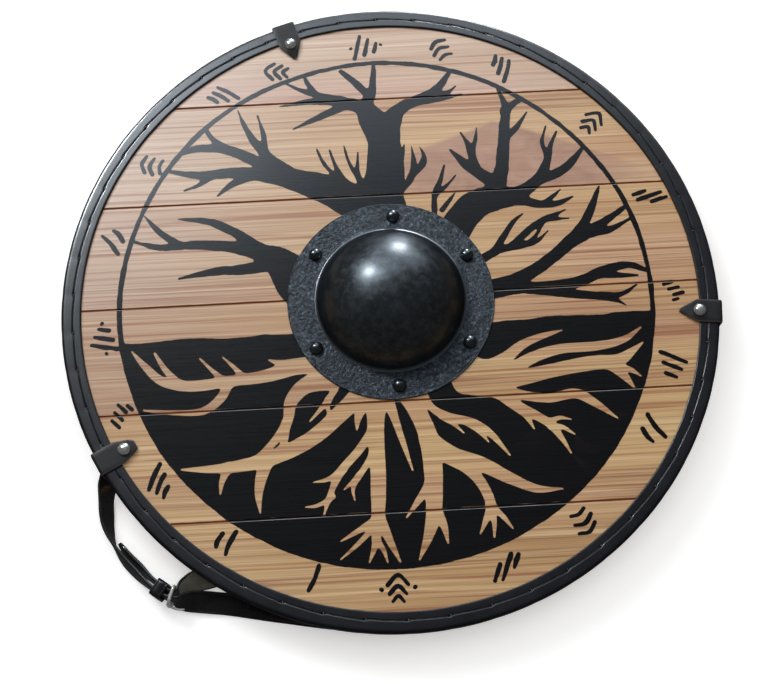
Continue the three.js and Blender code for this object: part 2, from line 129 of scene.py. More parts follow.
# ---- sizes shared with the CAD ------------------------------------------------
SHIELD_R = 305.0
LEATHER_INNER_R = 286.4
BOARD_BACK, BOARD_FRONT = 28.0, 38.0
BOARD_R = 302.7
FACE_TOP, FACE_BOTTOM = 40.3, 25.7
PLANK_W, SEAM_OFFSET = 101.67, 4.56
HAND_HOLE_R = 62.0
LACE_R = 294.0
STITCHES = 50
BOSS_R = 96.3
BOSS_RIVETS = [(83.4, a) for a in (85.5, 28.7, -33, -88, -148.3, 144.8)]
CLIPS = {"top": (107.1, 282.8), "right": (-5.4, 285.6), "left": (-152.3, 278.4)}
PAINT_Z = BOARD_FRONT + 0.12
RING = (-4.0, 0.0, 247.0)     # painted ring: centre and middle radius


def polar(r, degrees):
    return r * math.cos(math.radians(degrees)), r * math.sin(math.radians(degrees))


# ---- seeded smooth noise for shapes -------------------------------------------
class Noise:
    def __init__(self, seed):
        self.table = np.random.RandomState(seed).uniform(-1, 1, (256, 256))

    def at(self, x, y):
        x, y = np.asarray(x, float), np.asarray(y, float)
        i, j = np.floor(x).astype(int), np.floor(y).astype(int)
        u, v = x - i, y - j
        u, v = u * u * (3 - 2 * u), v * v * (3 - 2 * v)
        t = self.table
        a, b = t[i % 256, j % 256], t[(i + 1) % 256, j % 256]
        c, d = t[i % 256, (j + 1) % 256], t[(i + 1) % 256, (j + 1) % 256]
        return (a * (1 - u) + b * u) * (1 - v) + (c * (1 - u) + d * u) * v


# ---- mesh helpers --------------------------------------------------------------
def piece(name, verts, faces, mats, fmat=None, slot=None, stands=(), sharp=38, attrs=None, sheet=False, flat_faces=False):
    me = bpy.data.meshes.new(name)
    me.from_pydata((np.asarray(verts, float) * 0.001).tolist(), [], [list(map(int, f)) for f in faces])
    for m in mats:
        me.materials.append(m)
    if fmat is not None:
        me.polygons.foreach_set("material_index", np.asarray(fmat, np.int32))
    for key, values in (attrs or {}).items():
        me.attributes.new(key, "FLOAT", "POINT").data.foreach_set("value", np.asarray(values, np.float32))
    if not sheet:
        bm = bmesh.new()
        bm.from_mesh(me)
        bmesh.ops.recalc_face_normals(bm, faces=bm.faces)
        bm.to_mesh(me)
        bm.free()
    me.polygons.foreach_set("use_smooth", np.ones(len(me.polygons), bool))
    me.set_sharp_from_angle(angle=math.radians(sharp))
    if flat_faces:
        me.polygons.foreach_set("use_smooth", np.array([len(f.vertices) <= 8 for f in me.polygons], bool))
    me.update()
    o = bpy.data.objects.new(name, me)
    scene.collection.objects.link(o)
    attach(o, "root")
    if stands:
        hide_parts(*stands)
    return o


class Build:
    """Collects vertices and faces of one piece, in millimetres."""

    def __init__(self):
        self.v, self.f, self.m, self.n = [], [], [], 0

    def add(self, verts, faces, mat=0):
        verts = np.asarray(verts, float).reshape(-1, 3)
        self.v.append(verts)
        self.f += [[int(i) + self.n for i in f] for f in faces]
        self.m += [mat] * len(faces)
        self.n += len(verts)

    def grid(self, P, close_u=False, close_v=False, mat=0, cap_u=False, flip=False):
        """P[u][v] is a grid of points. cap_u closes the first and last rows with a face each."""
        P = np.asarray(P, float)
        nu, nv = P.shape[:2]
        faces = []
        for i in range(nu if close_u else nu - 1):
            i2 = (i + 1) % nu
            for j in range(nv if close_v else nv - 1):
                j2 = (j + 1) % nv
                q = [i * nv + j, i2 * nv + j, i2 * nv + j2, i * nv + j2]
                faces.append(q[::-1] if flip else q)
        if cap_u:
            faces.append(list(range(nv)))
            faces.append([(nu - 1) * nv + j for j in reversed(range(nv))])
        self.add(P.reshape(-1, 3), faces, mat)

    def make(self, name, mats, **kw):
        return piece(name, np.concatenate(self.v), self.f, mats, fmat=self.m, **kw)


def lathe(build, profile, n, centre=(0, 0), mat=0, phase=0.0, closed=False):
    """profile: [(r, z)]. A radius of 0 at an end closes with a fan."""
    a = np.linspace(0, 2 * math.pi, n, endpoint=False) + phase
    ca, sa = np.cos(a), np.sin(a)
    pts, rows = [], []
    for r, z in profile:
        if r < 1e-6:
            rows.append([len(pts)])
            pts.append((centre[0], centre[1], z))
        else:
            rows.append(list(range(len(pts), len(pts) + n)))
            pts += [(centre[0] + r * c, centre[1] + r * s, z) for c, s in zip(ca, sa)]
    faces = []
    pairs = list(zip(rows, rows[1:])) + ([(rows[-1], rows[0])] if closed else [])
    for a_, b_ in pairs:
        if len(a_) == 1 and len(b_) == 1:
            continue
        for k in range(n):
            k2 = (k + 1) % n
            if len(a_) == 1:
                faces.append([a_[0], b_[k], b_[k2]])
            elif len(b_) == 1:
                faces.append([a_[k], b_[0], a_[k2]])
            else:
                faces.append([a_[k], b_[k], b_[k2], a_[k2]])
    build.add(pts, faces, mat)


def spline(points, per=6):
    """Uniform Catmull-Rom through the points, the end spans extrapolated; rows may hold any number of values."""
    p = np.asarray(points, float)
    q = np.vstack([2 * p[0] - p[1], p, 2 * p[-1] - p[-2]])
    out = []
    for i in range(len(p) - 1):
        a, b, c, d = q[i:i + 4]
        for s in np.linspace(0, 1, per, endpoint=False):
            out.append(0.5 * (2 * b + (c - a) * s + (2 * a - 5 * b + 4 * c - d) * s * s + (3 * b - a - 3 * c + d) * s ** 3))
    out.append(p[-1])
    return np.array(out)


# ---- material helpers ------------------------------------------------------------
class Mat:
    def __init__(self, name):
        self.m = bpy.data.materials.new(name)
        self.m.use_nodes = True
        self.t = self.m.node_tree
        self.b = self.t.nodes["Principled BSDF"]
        self.here = self.node("ShaderNodeTexCoord").outputs["Object"]

    def node(self, kind, **props):
        n = self.t.nodes.new(kind)
        for k, v in props.items():
            setattr(n, k, v)
        return n

    def put(self, socket, value):
        if isinstance(value, bpy.types.NodeSocket):
            self.t.links.new(value, socket)
        elif value is not None:
            socket.default_value = value

    def mapping(self, vec, scale=(1, 1, 1), loc=(0, 0, 0), rot=(0, 0, 0)):
        n = self.node("ShaderNodeMapping")
        self.put(n.inputs["Vector"], vec)
        n.inputs["Scale"].default_value = scale
        n.inputs["Location"].default_value = loc
        n.inputs["Rotation"].default_value = rot
        return n.outputs[0]

    def noise(self, vec, scale=1.0, detail=2.0, rough=0.5, distortion=0.0):
        n = self.node("ShaderNodeTexNoise")
        self.put(n.inputs["Vector"], vec)
        n.inputs["Scale"].default_value = scale
        n.inputs["Detail"].default_value = detail
        n.inputs["Roughness"].default_value = rough
        n.inputs["Distortion"].default_value = distortion
        return n.outputs["Fac"]

    def voronoi(self, vec, scale=1.0, feature="F1", rand=1.0):
        n = self.node("ShaderNodeTexVoronoi", feature=feature)
        self.put(n.inputs["Vector"], vec)
        n.inputs["Scale"].default_value = scale
        n.inputs["Randomness"].default_value = rand
        return n.outputs["Distance"]

    def math(self, op, a, b=None, c=None, clamp=False):
        n = self.node("ShaderNodeMath", operation=op, use_clamp=clamp)
        for s, v in zip(n.inputs, (a, b, c)):
            self.put(s, v)
        return n.outputs[0]

    def ramp(self, fac, stops, interp="LINEAR"):
        n = self.node("ShaderNodeValToRGB")
        n.color_ramp.interpolation = interp
        e = n.color_ramp.elements
        while len(e) < len(stops):
            e.new(0.5)
        for el, (pos, col) in zip(e, stops):
            el.position = pos
            el.color = (*col, 1) if isinstance(col, tuple) else (col, col, col, 1)
        self.put(n.inputs[0], fac)
        return n.outputs[0]

    def mix(self, fac, a, b, mode="MIX"):
        n = self.node("ShaderNodeMix", data_type="RGBA", blend_type=mode)
        self.put(n.inputs["Factor"], fac)
        for s, v in ((n.inputs[6], a), (n.inputs[7], b)):
            self.put(s, (*v, 1) if isinstance(v, tuple) and len(v) == 3 else v)
        return n.outputs[2]

    def range(self, v, a, b, c, d):
        n = self.node("ShaderNodeMapRange")
        self.put(n.inputs[0], v)
        for s, x in zip(list(n.inputs)[1:5], (a, b, c, d)):
            s.default_value = x
        return n.outputs[0]

    def xyz(self, vec):
        n = self.node("ShaderNodeSeparateXYZ")
        self.put(n.inputs[0], vec)
        return n.outputs

    def join(self, x, y, z):
        n = self.node("ShaderNodeCombineXYZ")
        for s, v in zip(n.inputs, (x, y, z)):
            self.put(s, v)
        return n.outputs[0]

    def attr(self, name):
        return self.node("ShaderNodeAttribute", attribute_name=name).outputs["Fac"]

    def bump(self, height, distance, strength=1.0, normal=None):
        n = self.node("ShaderNodeBump")
        self.put(n.inputs["Height"], height)
        n.inputs["Distance"].default_value = distance
        n.inputs["Strength"].default_value = strength
        if normal is not None:
            self.put(n.inputs["Normal"], normal)
        return n.outputs[0]

    def set(self, **kw):
        for k, v in kw.items():
            self.put(self.b.inputs[k.replace("_", " ")], (*v, 1) if isinstance(v, tuple) and len(v) == 3 else v)
        return self.m


def srgb(r, g, b):
    def one(c):
        c /= 255.0
        return c / 12.92 if c <= 0.04045 else ((c + 0.055) / 1.055) ** 2.4
    return one(r), one(g), one(b)


# ---- materials ---------------------------------------------------------------------
def wood(name, seed, varnish=True, left=None, pale=srgb(224, 191, 146), tan=srgb(208, 168, 120), rose=srgb(210, 162, 138), rust=srgb(158, 102, 70),
         dark=srgb(108, 70, 44), rosy=0.5, lines=0.5, force=1.0, figure=False, along="X"):
    """Sawn softwood seen along its grain: broad bands, many fine streaks, a few rust lines and blushes of pink."""
    m = Mat(name)
    rs = np.random.RandomState(seed)
    here = m.here
    if along == "Y":
        here = m.mapping(here, rot=(0, 0, math.pi / 2))
    p = m.mapping(here, loc=tuple(rs.uniform(-3, 3, 3)))
    bend = m.noise(m.mapping(p, (1.6, 7, 7)), 1.0, 1.0)
    slow = m.noise(m.mapping(p, (0.6, 2.5, 2.5)), 1.0, 0.0)
    x, y, z = m.xyz(p)[:3]
    ripple = m.noise(m.mapping(p, (9, 40, 30), loc=(2, 2, 6)), 1.0, 1.0)
    y2 = m.math("ADD", m.math("MULTIPLY_ADD", bend, 0.005, y), m.math("MULTIPLY_ADD", slow, 0.012, m.math("MULTIPLY", ripple, 0.0022)))
    w = m.join(x, y2, z)
    broad = m.noise(m.mapping(w, (0.9, 26, 16)), 1.0, 2.0, 0.5)
    band = m.noise(m.mapping(w, (1.8, 85, 50), loc=(7, 3, 1)), 1.0, 2.0, 0.55)
    streak = m.noise(m.mapping(w, (3.0, 380, 200)), 1.0, 3.0, 0.62)
    hair = m.noise(m.mapping(w, (4.2, 760, 360), loc=(9, 1, 7)), 1.0, 2.0, 0.6)
    rusty = m.noise(m.mapping(w, (2.8, 260, 150), loc=(3, 8, 2)), 1.0, 2.0, 0.5)
    blush = m.noise(m.mapping(w, (2.0, 13, 9), loc=(1, 5, 9)), 1.0, 2.0, 0.5)
    fibre = m.noise(m.mapping(w, (14, 950, 500)), 1.0, 2.0, 0.6)
    # growth lines: spacing that drifts, a slow darkening and a quick return
    spacing = m.math("MULTIPLY_ADD", m.noise(m.mapping(w, (0.5, 22, 14), loc=(2, 9, 4)), 1.0, 1.0), 3.2, m.math("MULTIPLY", y2, 150.0))
    line = m.ramp(m.math("FRACT", spacing), [(0.0, 0.15), (0.07, 0.0), (0.62, 0.04), (0.86, 0.5), (0.94, 1.0), (1.0, 0.15)], "EASE")
    fade = m.range(m.noise(m.mapping(w, (1.8, 30, 20), loc=(5, 5, 5)), 1.0, 2.0), 0.40, 0.64, 0.0, 1.0)

    def part(v, a, b, amount):
        return m.math("MULTIPLY", m.range(v, a, b, 0.0, 1.0), min(1.0, amount))

    base = m.mix(m.range(broad, 0.40, 0.60, 0.0, 1.0), pale, tan)
    base = m.mix(part(blush, 0.48, 0.64, rosy), base, rose)
    # Towards the left end of each plank the colour is drawn to a given tone, greyish on the upper planks: painted light
    # and reflection from the window at the upper left.
    if left:
        far = m.math("ADD", m.xyz(here)[0], m.math("MULTIPLY_ADD", slow, 0.20, -0.10))
        base = m.mix(m.range(far, 0.04, -0.24, 0.0, left[1]), base, left[0])
    base = m.mix(part(band, 0.52, 0.66, 0.34 * force), base, srgb(176, 130, 92))
    base = m.mix(part(streak, 0.47, 0.33, 0.36), base, srgb(238, 212, 176))
    base = m.mix(part(streak, 0.51, 0.64, 0.30 * force), base, srgb(164, 118, 82))
    base = m.mix(part(hair, 0.54, 0.66, 0.45 * force), base, srgb(150, 104, 70))
    base = m.mix(part(rusty, 0.575, 0.65, 0.70 * force), base, rust)
    base = m.mix(m.math("MULTIPLY", m.math("MULTIPLY", line, fade), lines), base, dark)
    if figure:
        # a reddish cross-cut figure that runs slantwise through the board
        fx, fy, _ = m.xyz(here)[:3]
        wob = m.noise(m.mapping(here, (10, 22, 5)), 1.0, 3.0)
        up = m.math("SUBTRACT", 0.180, m.math("MULTIPLY", m.math("ABSOLUTE", m.math("SUBTRACT", fx, 0.108)), 0.38))
        up = m.math("ADD", up, m.math("MULTIPLY_ADD", wob, 0.018, -0.009))
        inside = m.range(m.math("SUBTRACT", up, fy), -0.0006, 0.0035, 0.0, 1.0)
        ends = m.math("MULTIPLY", m.range(fx, -0.01, 0.035, 0.0, 1.0), m.range(fx, 0.255, 0.20, 0.0, 1.0))
        lens = m.math("MULTIPLY", inside, ends)
        curl = m.noise(m.mapping(here, (24, 60, 10), rot=(0, 0, 0.5)), 1.0, 4.0, 0.6, 0.6)
        tint = m.mix(m.range(curl, 0.35, 0.65, 0.0, 1.0), srgb(182, 142, 124), srgb(152, 110, 94))
        base = m.mix(m.math("MULTIPLY", lens, 0.74), base, tint)
    base = m.mix(m.range(fibre, 0.30, 0.75, 0.0, 0.18), base, dark)
    m.put(m.b.inputs["Base Color"], base)
    rough = m.range(fibre, 0.3, 0.7, 0.30, 0.40) if varnish else m.range(fibre, 0.3, 0.7, 0.62, 0.8)
    h = m.math("ADD", m.math("MULTIPLY", line, 0.5), m.math("MULTIPLY", fibre, 0.8))
    m.put(m.b.inputs["Normal"], m.bump(h, 0.00012 if varnish else 0.0003, 0.35 if varnish else 0.6))
    if varnish:
        return m.set(Roughness=rough, Coat_Weight=0.6, Coat_Roughness=0.20, Coat_IOR=1.5)
    return m.set(Roughness=rough)


def seam_material():
    """The stained sides of a plank joint: dark brown in bare wood, black where the paint crosses, its upper bevel
    coloured pale as a painted highlight where it faces the light.
    """
    m = Mat("seam_stain_and_highlight")
    n = m.noise(m.mapping(m.here, (30, 300, 300)), 1.0, 2.0)
    brown = m.mix(n, srgb(122, 72, 38), srgb(162, 104, 60))
    col = m.mix(m.attr("ink"), brown, (0.0035, 0.0035, 0.0045))
    # The upper bevel of a joint is coloured pale, and grey-blue over the black paint: a painted highlight.
    col = m.mix(m.attr("lip_highlight"), col, m.mix(m.attr("ink"), srgb(168, 122, 84), srgb(150, 156, 162)))
    m.put(m.b.inputs["Base Color"], col)
    return m.set(Roughness=0.6)


def paint_material():
    m = Mat("black_paint")
    grain = m.noise(m.mapping(m.here, (12, 700, 300)), 1.0, 2.0, 0.6)
    cloud = m.noise(m.mapping(m.here, (14, 22, 14)), 1.0, 4.0, 0.6)
    black = m.mix(cloud, (0.0022, 0.0024, 0.0034), (0.0042, 0.0042, 0.0056))
    edge = m.attr("edge")
    m.put(m.b.inputs["Base Color"], m.mix(edge, srgb(62, 40, 28), black))
    h = m.math("ADD", m.math("MULTIPLY", grain, 0.7), m.math("MULTIPLY", cloud, 0.6))
    m.put(m.b.inputs["Normal"], m.bump(h, 0.0001, 0.4))
    m.set(Roughness=m.range(grain, 0.3, 0.7, 0.25, 0.32), Coat_Weight=0.75, Coat_Roughness=0.20, Coat_IOR=1.5)
    m.b.inputs["Specular IOR Level"].default_value = 0.22
    return m.m


def leather(name, base, light, rough=(0.34, 0.5), grain_mm=0.9, depth=0.00006, spec=0.5, edge_tint=None, coat=None, cast=None):
    m = Mat(name)
    p = m.here
    cells = m.voronoi(m.mapping(p, (1, 1, 1)), 1000.0 / grain_mm)
    fine = m.noise(p, 1600.0, 2.0)
    soft = m.noise(p, 60.0, 4.0, 0.6)
    crease = m.voronoi(m.mapping(p, (1, 1, 1), loc=(0.3, 0.1, 0)), 260.0, "DISTANCE_TO_EDGE")
    col = m.mix(m.range(soft, 0.35, 0.7, 0.0, 1.0), base, light)
    if cast:
        col = m.mix(m.range(m.noise(p, 34.0, 3.0), 0.46, 0.62, 0.0, 0.8), col, cast)
    # Where the attribute deep is high (the stitch groove, round the holes and on the binding's rounded edges), the
    # colour turns near black and the coat is taken away: painted shade.
    if cast:
        col = m.mix(m.attr("deep"), col, (0.0012, 0.0012, 0.0016))
    if edge_tint:
        col = m.mix(m.attr("edge"), col, edge_tint)
    m.put(m.b.inputs["Base Color"], col)
    h = m.math("ADD", m.math("MULTIPLY", cells, 0.9), m.math("MULTIPLY", fine, 0.35))
    h = m.math("ADD", h, m.math("MULTIPLY", m.range(crease, 0.0, 0.12, 0.0, 1.0), 0.5))
    m.put(m.b.inputs["Normal"], m.bump(h, depth, 0.8))
    m.set(Roughness=m.range(soft, 0.3, 0.7, *rough))
    if coat:
        m.set(Coat_Weight=m.range(m.attr("deep"), 0.0, 1.0, coat[0], 0.0) if cast else coat[0], Coat_Roughness=coat[1], Coat_IOR=coat[2])
    m.b.inputs["Specular IOR Level"].default_value = spec
    return m.m


def suede():
    m = Mat("suede")
    nap = m.noise(m.here, 900.0, 4.0, 0.7)
    soft = m.noise(m.here, 90.0, 3.0)
    col = m.mix(m.range(soft, 0.3, 0.7, 0.0, 1.0), srgb(84, 82, 74), srgb(108, 105, 94))
    col = m.mix(m.range(nap, 0.35, 0.7, 0.0, 0.45), col, srgb(40, 39, 36))
    m.put(m.b.inputs["Base Color"], col)
    m.put(m.b.inputs["Normal"], m.bump(nap, 0.00025, 0.7))
    m.set(Roughness=0.92)
    m.b.inputs["Sheen Weight"].default_value = 0.25
    m.b.inputs["Sheen Roughness"].default_value = 0.6
    return m.m


def thread_material(name="waxed_thread", low=(0.003, 0.004, 0.007), high=(0.010, 0.012, 0.019)):
    m = Mat(name)
    n = m.noise(m.here, 1200.0, 2.0)
    m.put(m.b.inputs["Base Color"], m.mix(n, low, high))
    m.put(m.b.inputs["Normal"], m.bump(n, 0.00008, 0.6))
    return m.set(Roughness=m.range(n, 0.3, 0.7, 0.30, 0.45))


def hammered():
    m = Mat("boss_flange")
    p = m.here
    grain = m.noise(p, 310.0, 4.0, 0.80)
    fine = m.noise(p, 1300.0, 2.0, 0.6)
    soft = m.noise(p, 34.0, 2.0)
    pits = m.voronoi(p, 300.0)
    col = m.ramp(grain, [(0.37, (0.005, 0.007, 0.011)), (0.46, (0.012, 0.017, 0.024)), (0.56, (0.031, 0.043, 0.057)), (0.68, (0.104, 0.134, 0.162))])
    col = m.mix(m.range(soft, 0.42, 0.62, 0.0, 0.42), col, (0.011, 0.014, 0.019))
    m.put(m.b.inputs["Base Color"], col)
    h = m.math("ADD", m.math("ADD", grain, m.math("MULTIPLY", fine, 0.25)), m.math("MULTIPLY", pits, 0.5))
    m.put(m.b.inputs["Normal"], m.bump(h, 0.0009, 0.8))
    m.set(Roughness=m.range(fine, 0.3, 0.7, 0.30, 0.5), Metallic=0.45)
    return m.m


def black_steel(name, rough, coat):
    """Blacked, waxed steel: a dark metal whose sheen is mottled, under a thin clear coat."""
    m = Mat(name)
    p = m.here
    soft = m.noise(p, 34.0, 4.0, 0.65)
    mottle = m.noise(p, 150.0, 4.0, 0.7)
    fine = m.noise(p, 700.0, 2.0)
    col = m.mix(m.range(soft, 0.35, 0.68, 0.0, 1.0), (0.046, 0.053, 0.059), (0.070, 0.080, 0.088))
    col = m.mix(m.range(mottle, 0.45, 0.62, 0.0, 0.5), col, (0.110, 0.124, 0.136))
    # Towards grazing angles the base colour is pulled to near black and the coat is thinned: painted shade on the sides
    # of the dome and the rivet heads.
    rim = m.node("ShaderNodeLayerWeight")
    rim.inputs["Blend"].default_value = 0.5
    keep = m.range(rim.outputs["Facing"], 0.25, 0.85, 1.0, 0.30)
    m.put(m.b.inputs["Base Color"], m.mix(keep, (0.012, 0.014, 0.016), col))
    h = m.math("ADD", m.math("MULTIPLY", soft, 1.0), m.math("MULTIPLY", fine, 0.05))
    m.put(m.b.inputs["Normal"], m.bump(h, 0.0005, 0.20))
    m.set(Roughness=m.range(m.mix(0.5, soft, mottle), 0.36, 0.64, *rough), Metallic=0.86, Coat_Weight=m.math("MULTIPLY", keep, coat[0]),
          Coat_Roughness=coat[1], Coat_IOR=1.5)
    m.b.inputs["Specular Tint"].default_value = (0.30, 0.36, 0.42, 1)
    return m.m


def nickel(name="nickel", rough=(0.16, 0.30), col=(0.66, 0.66, 0.64), metal=0.78):
    m = Mat(name)
    p = m.here
    scuff = m.noise(m.mapping(p, (300, 1500, 700)), 1.0, 3.0, 0.6)
    soft = m.noise(p, 260.0, 3.0)
    m.put(m.b.inputs["Base Color"], m.mix(m.range(soft, 0.35, 0.7, 0.0, 1.0), col, tuple(c * 0.72 for c in col)))
    m.put(m.b.inputs["Normal"], m.bump(m.math("ADD", scuff, soft), 0.00006, 0.5))
    return m.set(Roughness=m.range(scuff, 0.3, 0.7, *rough), Metallic=metal)


PAINT = paint_material()
RIM = leather("edge_leather", (0.0034, 0.0040, 0.0056), (0.0068, 0.0080, 0.0106), rough=(0.42, 0.54), spec=0.12, coat=(1.0, 0.25, 1.75),
              cast=(0.0080, 0.0064, 0.0104), depth=0.00010)
STRAP = leather("strap_leather", (0.0040, 0.0040, 0.0044), (0.0075, 0.0075, 0.0080), rough=(0.22, 0.34), grain_mm=1.1, depth=0.00003,
                edge_tint=(0.010, 0.009, 0.0085), coat=(0.75, 0.17, 1.55))
CLIP = leather("clip_leather", (0.0050, 0.0050, 0.0056), (0.0085, 0.0085, 0.0092), rough=(0.44, 0.58), grain_mm=0.8, depth=0.00008, spec=0.35,
               edge_tint=srgb(58, 52, 48))
SUEDE = suede()
THREAD = thread_material()
# The tacks over the holes are coloured pale grey-lilac, far lighter than the thread: painted glints.
TACK_GLINT = thread_material("tack_glint", (0.060, 0.057, 0.072), (0.150, 0.142, 0.172))
FLANGE = hammered()
DOME = black_steel("boss_dome", (0.30, 0.46), (0.30, 0.22))
RIVET_BLACK = black_steel("black_rivet", (0.22, 0.32), (0.5, 0.16))
# The ring where the dome meets the flange is a lighter, brighter steel than the dome, so that it shines in the lamps:
# painted sheen.
ROOT_STEEL = nickel("root_sheen_steel", (0.26, 0.40), (0.20, 0.21, 0.225), 0.85)
SEAM = seam_material()
NICKEL = nickel()
BUCKLE_NICKEL = nickel("buckle_nickel", (0.30, 0.46), (0.74, 0.74, 0.72), 0.62)
HOLE = Mat("hole_shadow").set(Base_Color=(0.002, 0.002, 0.002), Roughness=0.9)

# ---- floor -----------------------------------------------------------------------
fm = Mat("floor_paper")
fm.put(fm.b.inputs["Base Color"], fm.mix(fm.noise(fm.here, 2.0, 2.0), (0.90, 0.90, 0.90), (0.93, 0.93, 0.93)))
fm.set(Roughness=0.9, Emission_Color=(1.0, 1.0, 1.0), Emission_Strength=0.36)
fm.b.inputs["Specular IOR Level"].default_value = 0.1
me = bpy.data.meshes.new("floor")
me.from_pydata([(-6, -6, -0.0004), (6, -6, -0.0004), (6, 6, -0.0004), (-6, 6, -0.0004)], [], [(0, 1, 2, 3)])
me.materials.append(fm.m)
floor = bpy.data.objects.new("floor", me)
scene.collection.objects.link(floor)
floor.visible_glossy = False
floor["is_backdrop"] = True

# ---- planks ----------------------------------------------------------------------
def seam_y(k):
    return SEAM_OFFSET + PLANK_W * (3 - k)


def plank_span(k):
    top = seam_y(k) - 0.15 if k else None
    bottom = seam_y(k + 1) + 0.15 if k < 5 else None
    return bottom, top


def plank_outline(bottom, top, R=BOARD_R):
    def line(x0, x1, y):
        n = max(2, int(abs(x1 - x0) / 1.5))
        return [(x0 + (x1 - x0) * i / n, y) for i in range(n)]

    def arc(r, a0, a1):
        n = max(2, int(abs(a1 - a0) / 1.2))
        return [polar(r, a0 + (a1 - a0) * i / n) for i in range(n)]

    aB = math.degrees(math.asin(bottom / R)) if bottom is not None else -90.0
    aT = math.degrees(math.asin(top / R)) if top is not None else 90.0
    pts = arc(R, aB, aT)
    h = HAND_HOLE_R
    if top is not None:
        xe = math.sqrt(R * R - top * top)
        if abs(top) < h:
            xh = math.sqrt(h * h - top * top)
            ah = math.degrees(math.asin(top / h))
            pts += line(xe, xh, top) + arc(h, ah, -180 - ah) + line(-xh, -xe, top)
        else:
            pts += line(xe, -xe, top)
    pts += arc(R, 180 - aT, 180 - aB)
    if bottom is not None:
        xe = math.sqrt(R * R - bottom * bottom)
        if abs(bottom) < h:
            xh = math.sqrt(h * h - bottom * bottom)
            ah = math.degrees(math.asin(bottom / h))
            pts += line(-xe, -xh, bottom) + arc(h, 180 - ah, ah) + line(xh, xe, bottom)
        else:
            pts += line(-xe, xe, bottom)
    return np.array(pts)


# ---- the painted picture ------------------------------------------------------------
STEP = 0.85
axis = np.arange(-290, 290 + STEP, STEP)
GX, GY = np.meshgrid(axis, axis, indexing="xy")
FAR = 60.0


def strokes(paths, per=5, soft=3.0, slim=1.0):
    """Signed distance, negative inside, to tapered strokes given as lists of (x, y, half width)."""
    total = np.full(GX.shape, FAR)
    for pts in paths:
        s = spline(pts, per)
        s[:, 2] *= np.clip(0.86 + (s[:, 2] - 9) * 0.03, 0.86, 1.0) * slim + (1 - slim)
        lo, hi = s[:, :2].min(0) - 14 - s[:, 2].max(), s[:, :2].max(0) + 14 + s[:, 2].max()
        i0, i1 = np.searchsorted(axis, (lo[0], hi[0]))
        j0, j1 = np.searchsorted(axis, (lo[1], hi[1]))
        X, Y = GX[j0:j1, i0:i1], GY[j0:j1, i0:i1]
        if X.size == 0:
            continue
        best = np.full(X.shape, FAR)
        for (ax, ay, ar), (bx, by, br) in zip(s, s[1:]):
            dx, dy = bx - ax, by - ay
            t = np.clip(((X - ax) * dx + (Y - ay) * dy) / max(dx * dx + dy * dy, 1e-9), 0, 1)
            d = np.hypot(X - ax - t * dx, Y - ay - t * dy) - np.maximum(ar + t * (br - ar), 0.35)
            np.minimum(best, d, out=best)
        old = total[j0:j1, i0:i1]
        h = np.clip(soft - np.abs(old - best), 0, None) / soft
        total[j0:j1, i0:i1] = np.minimum(old, best) - h * h * soft / 4
    return total


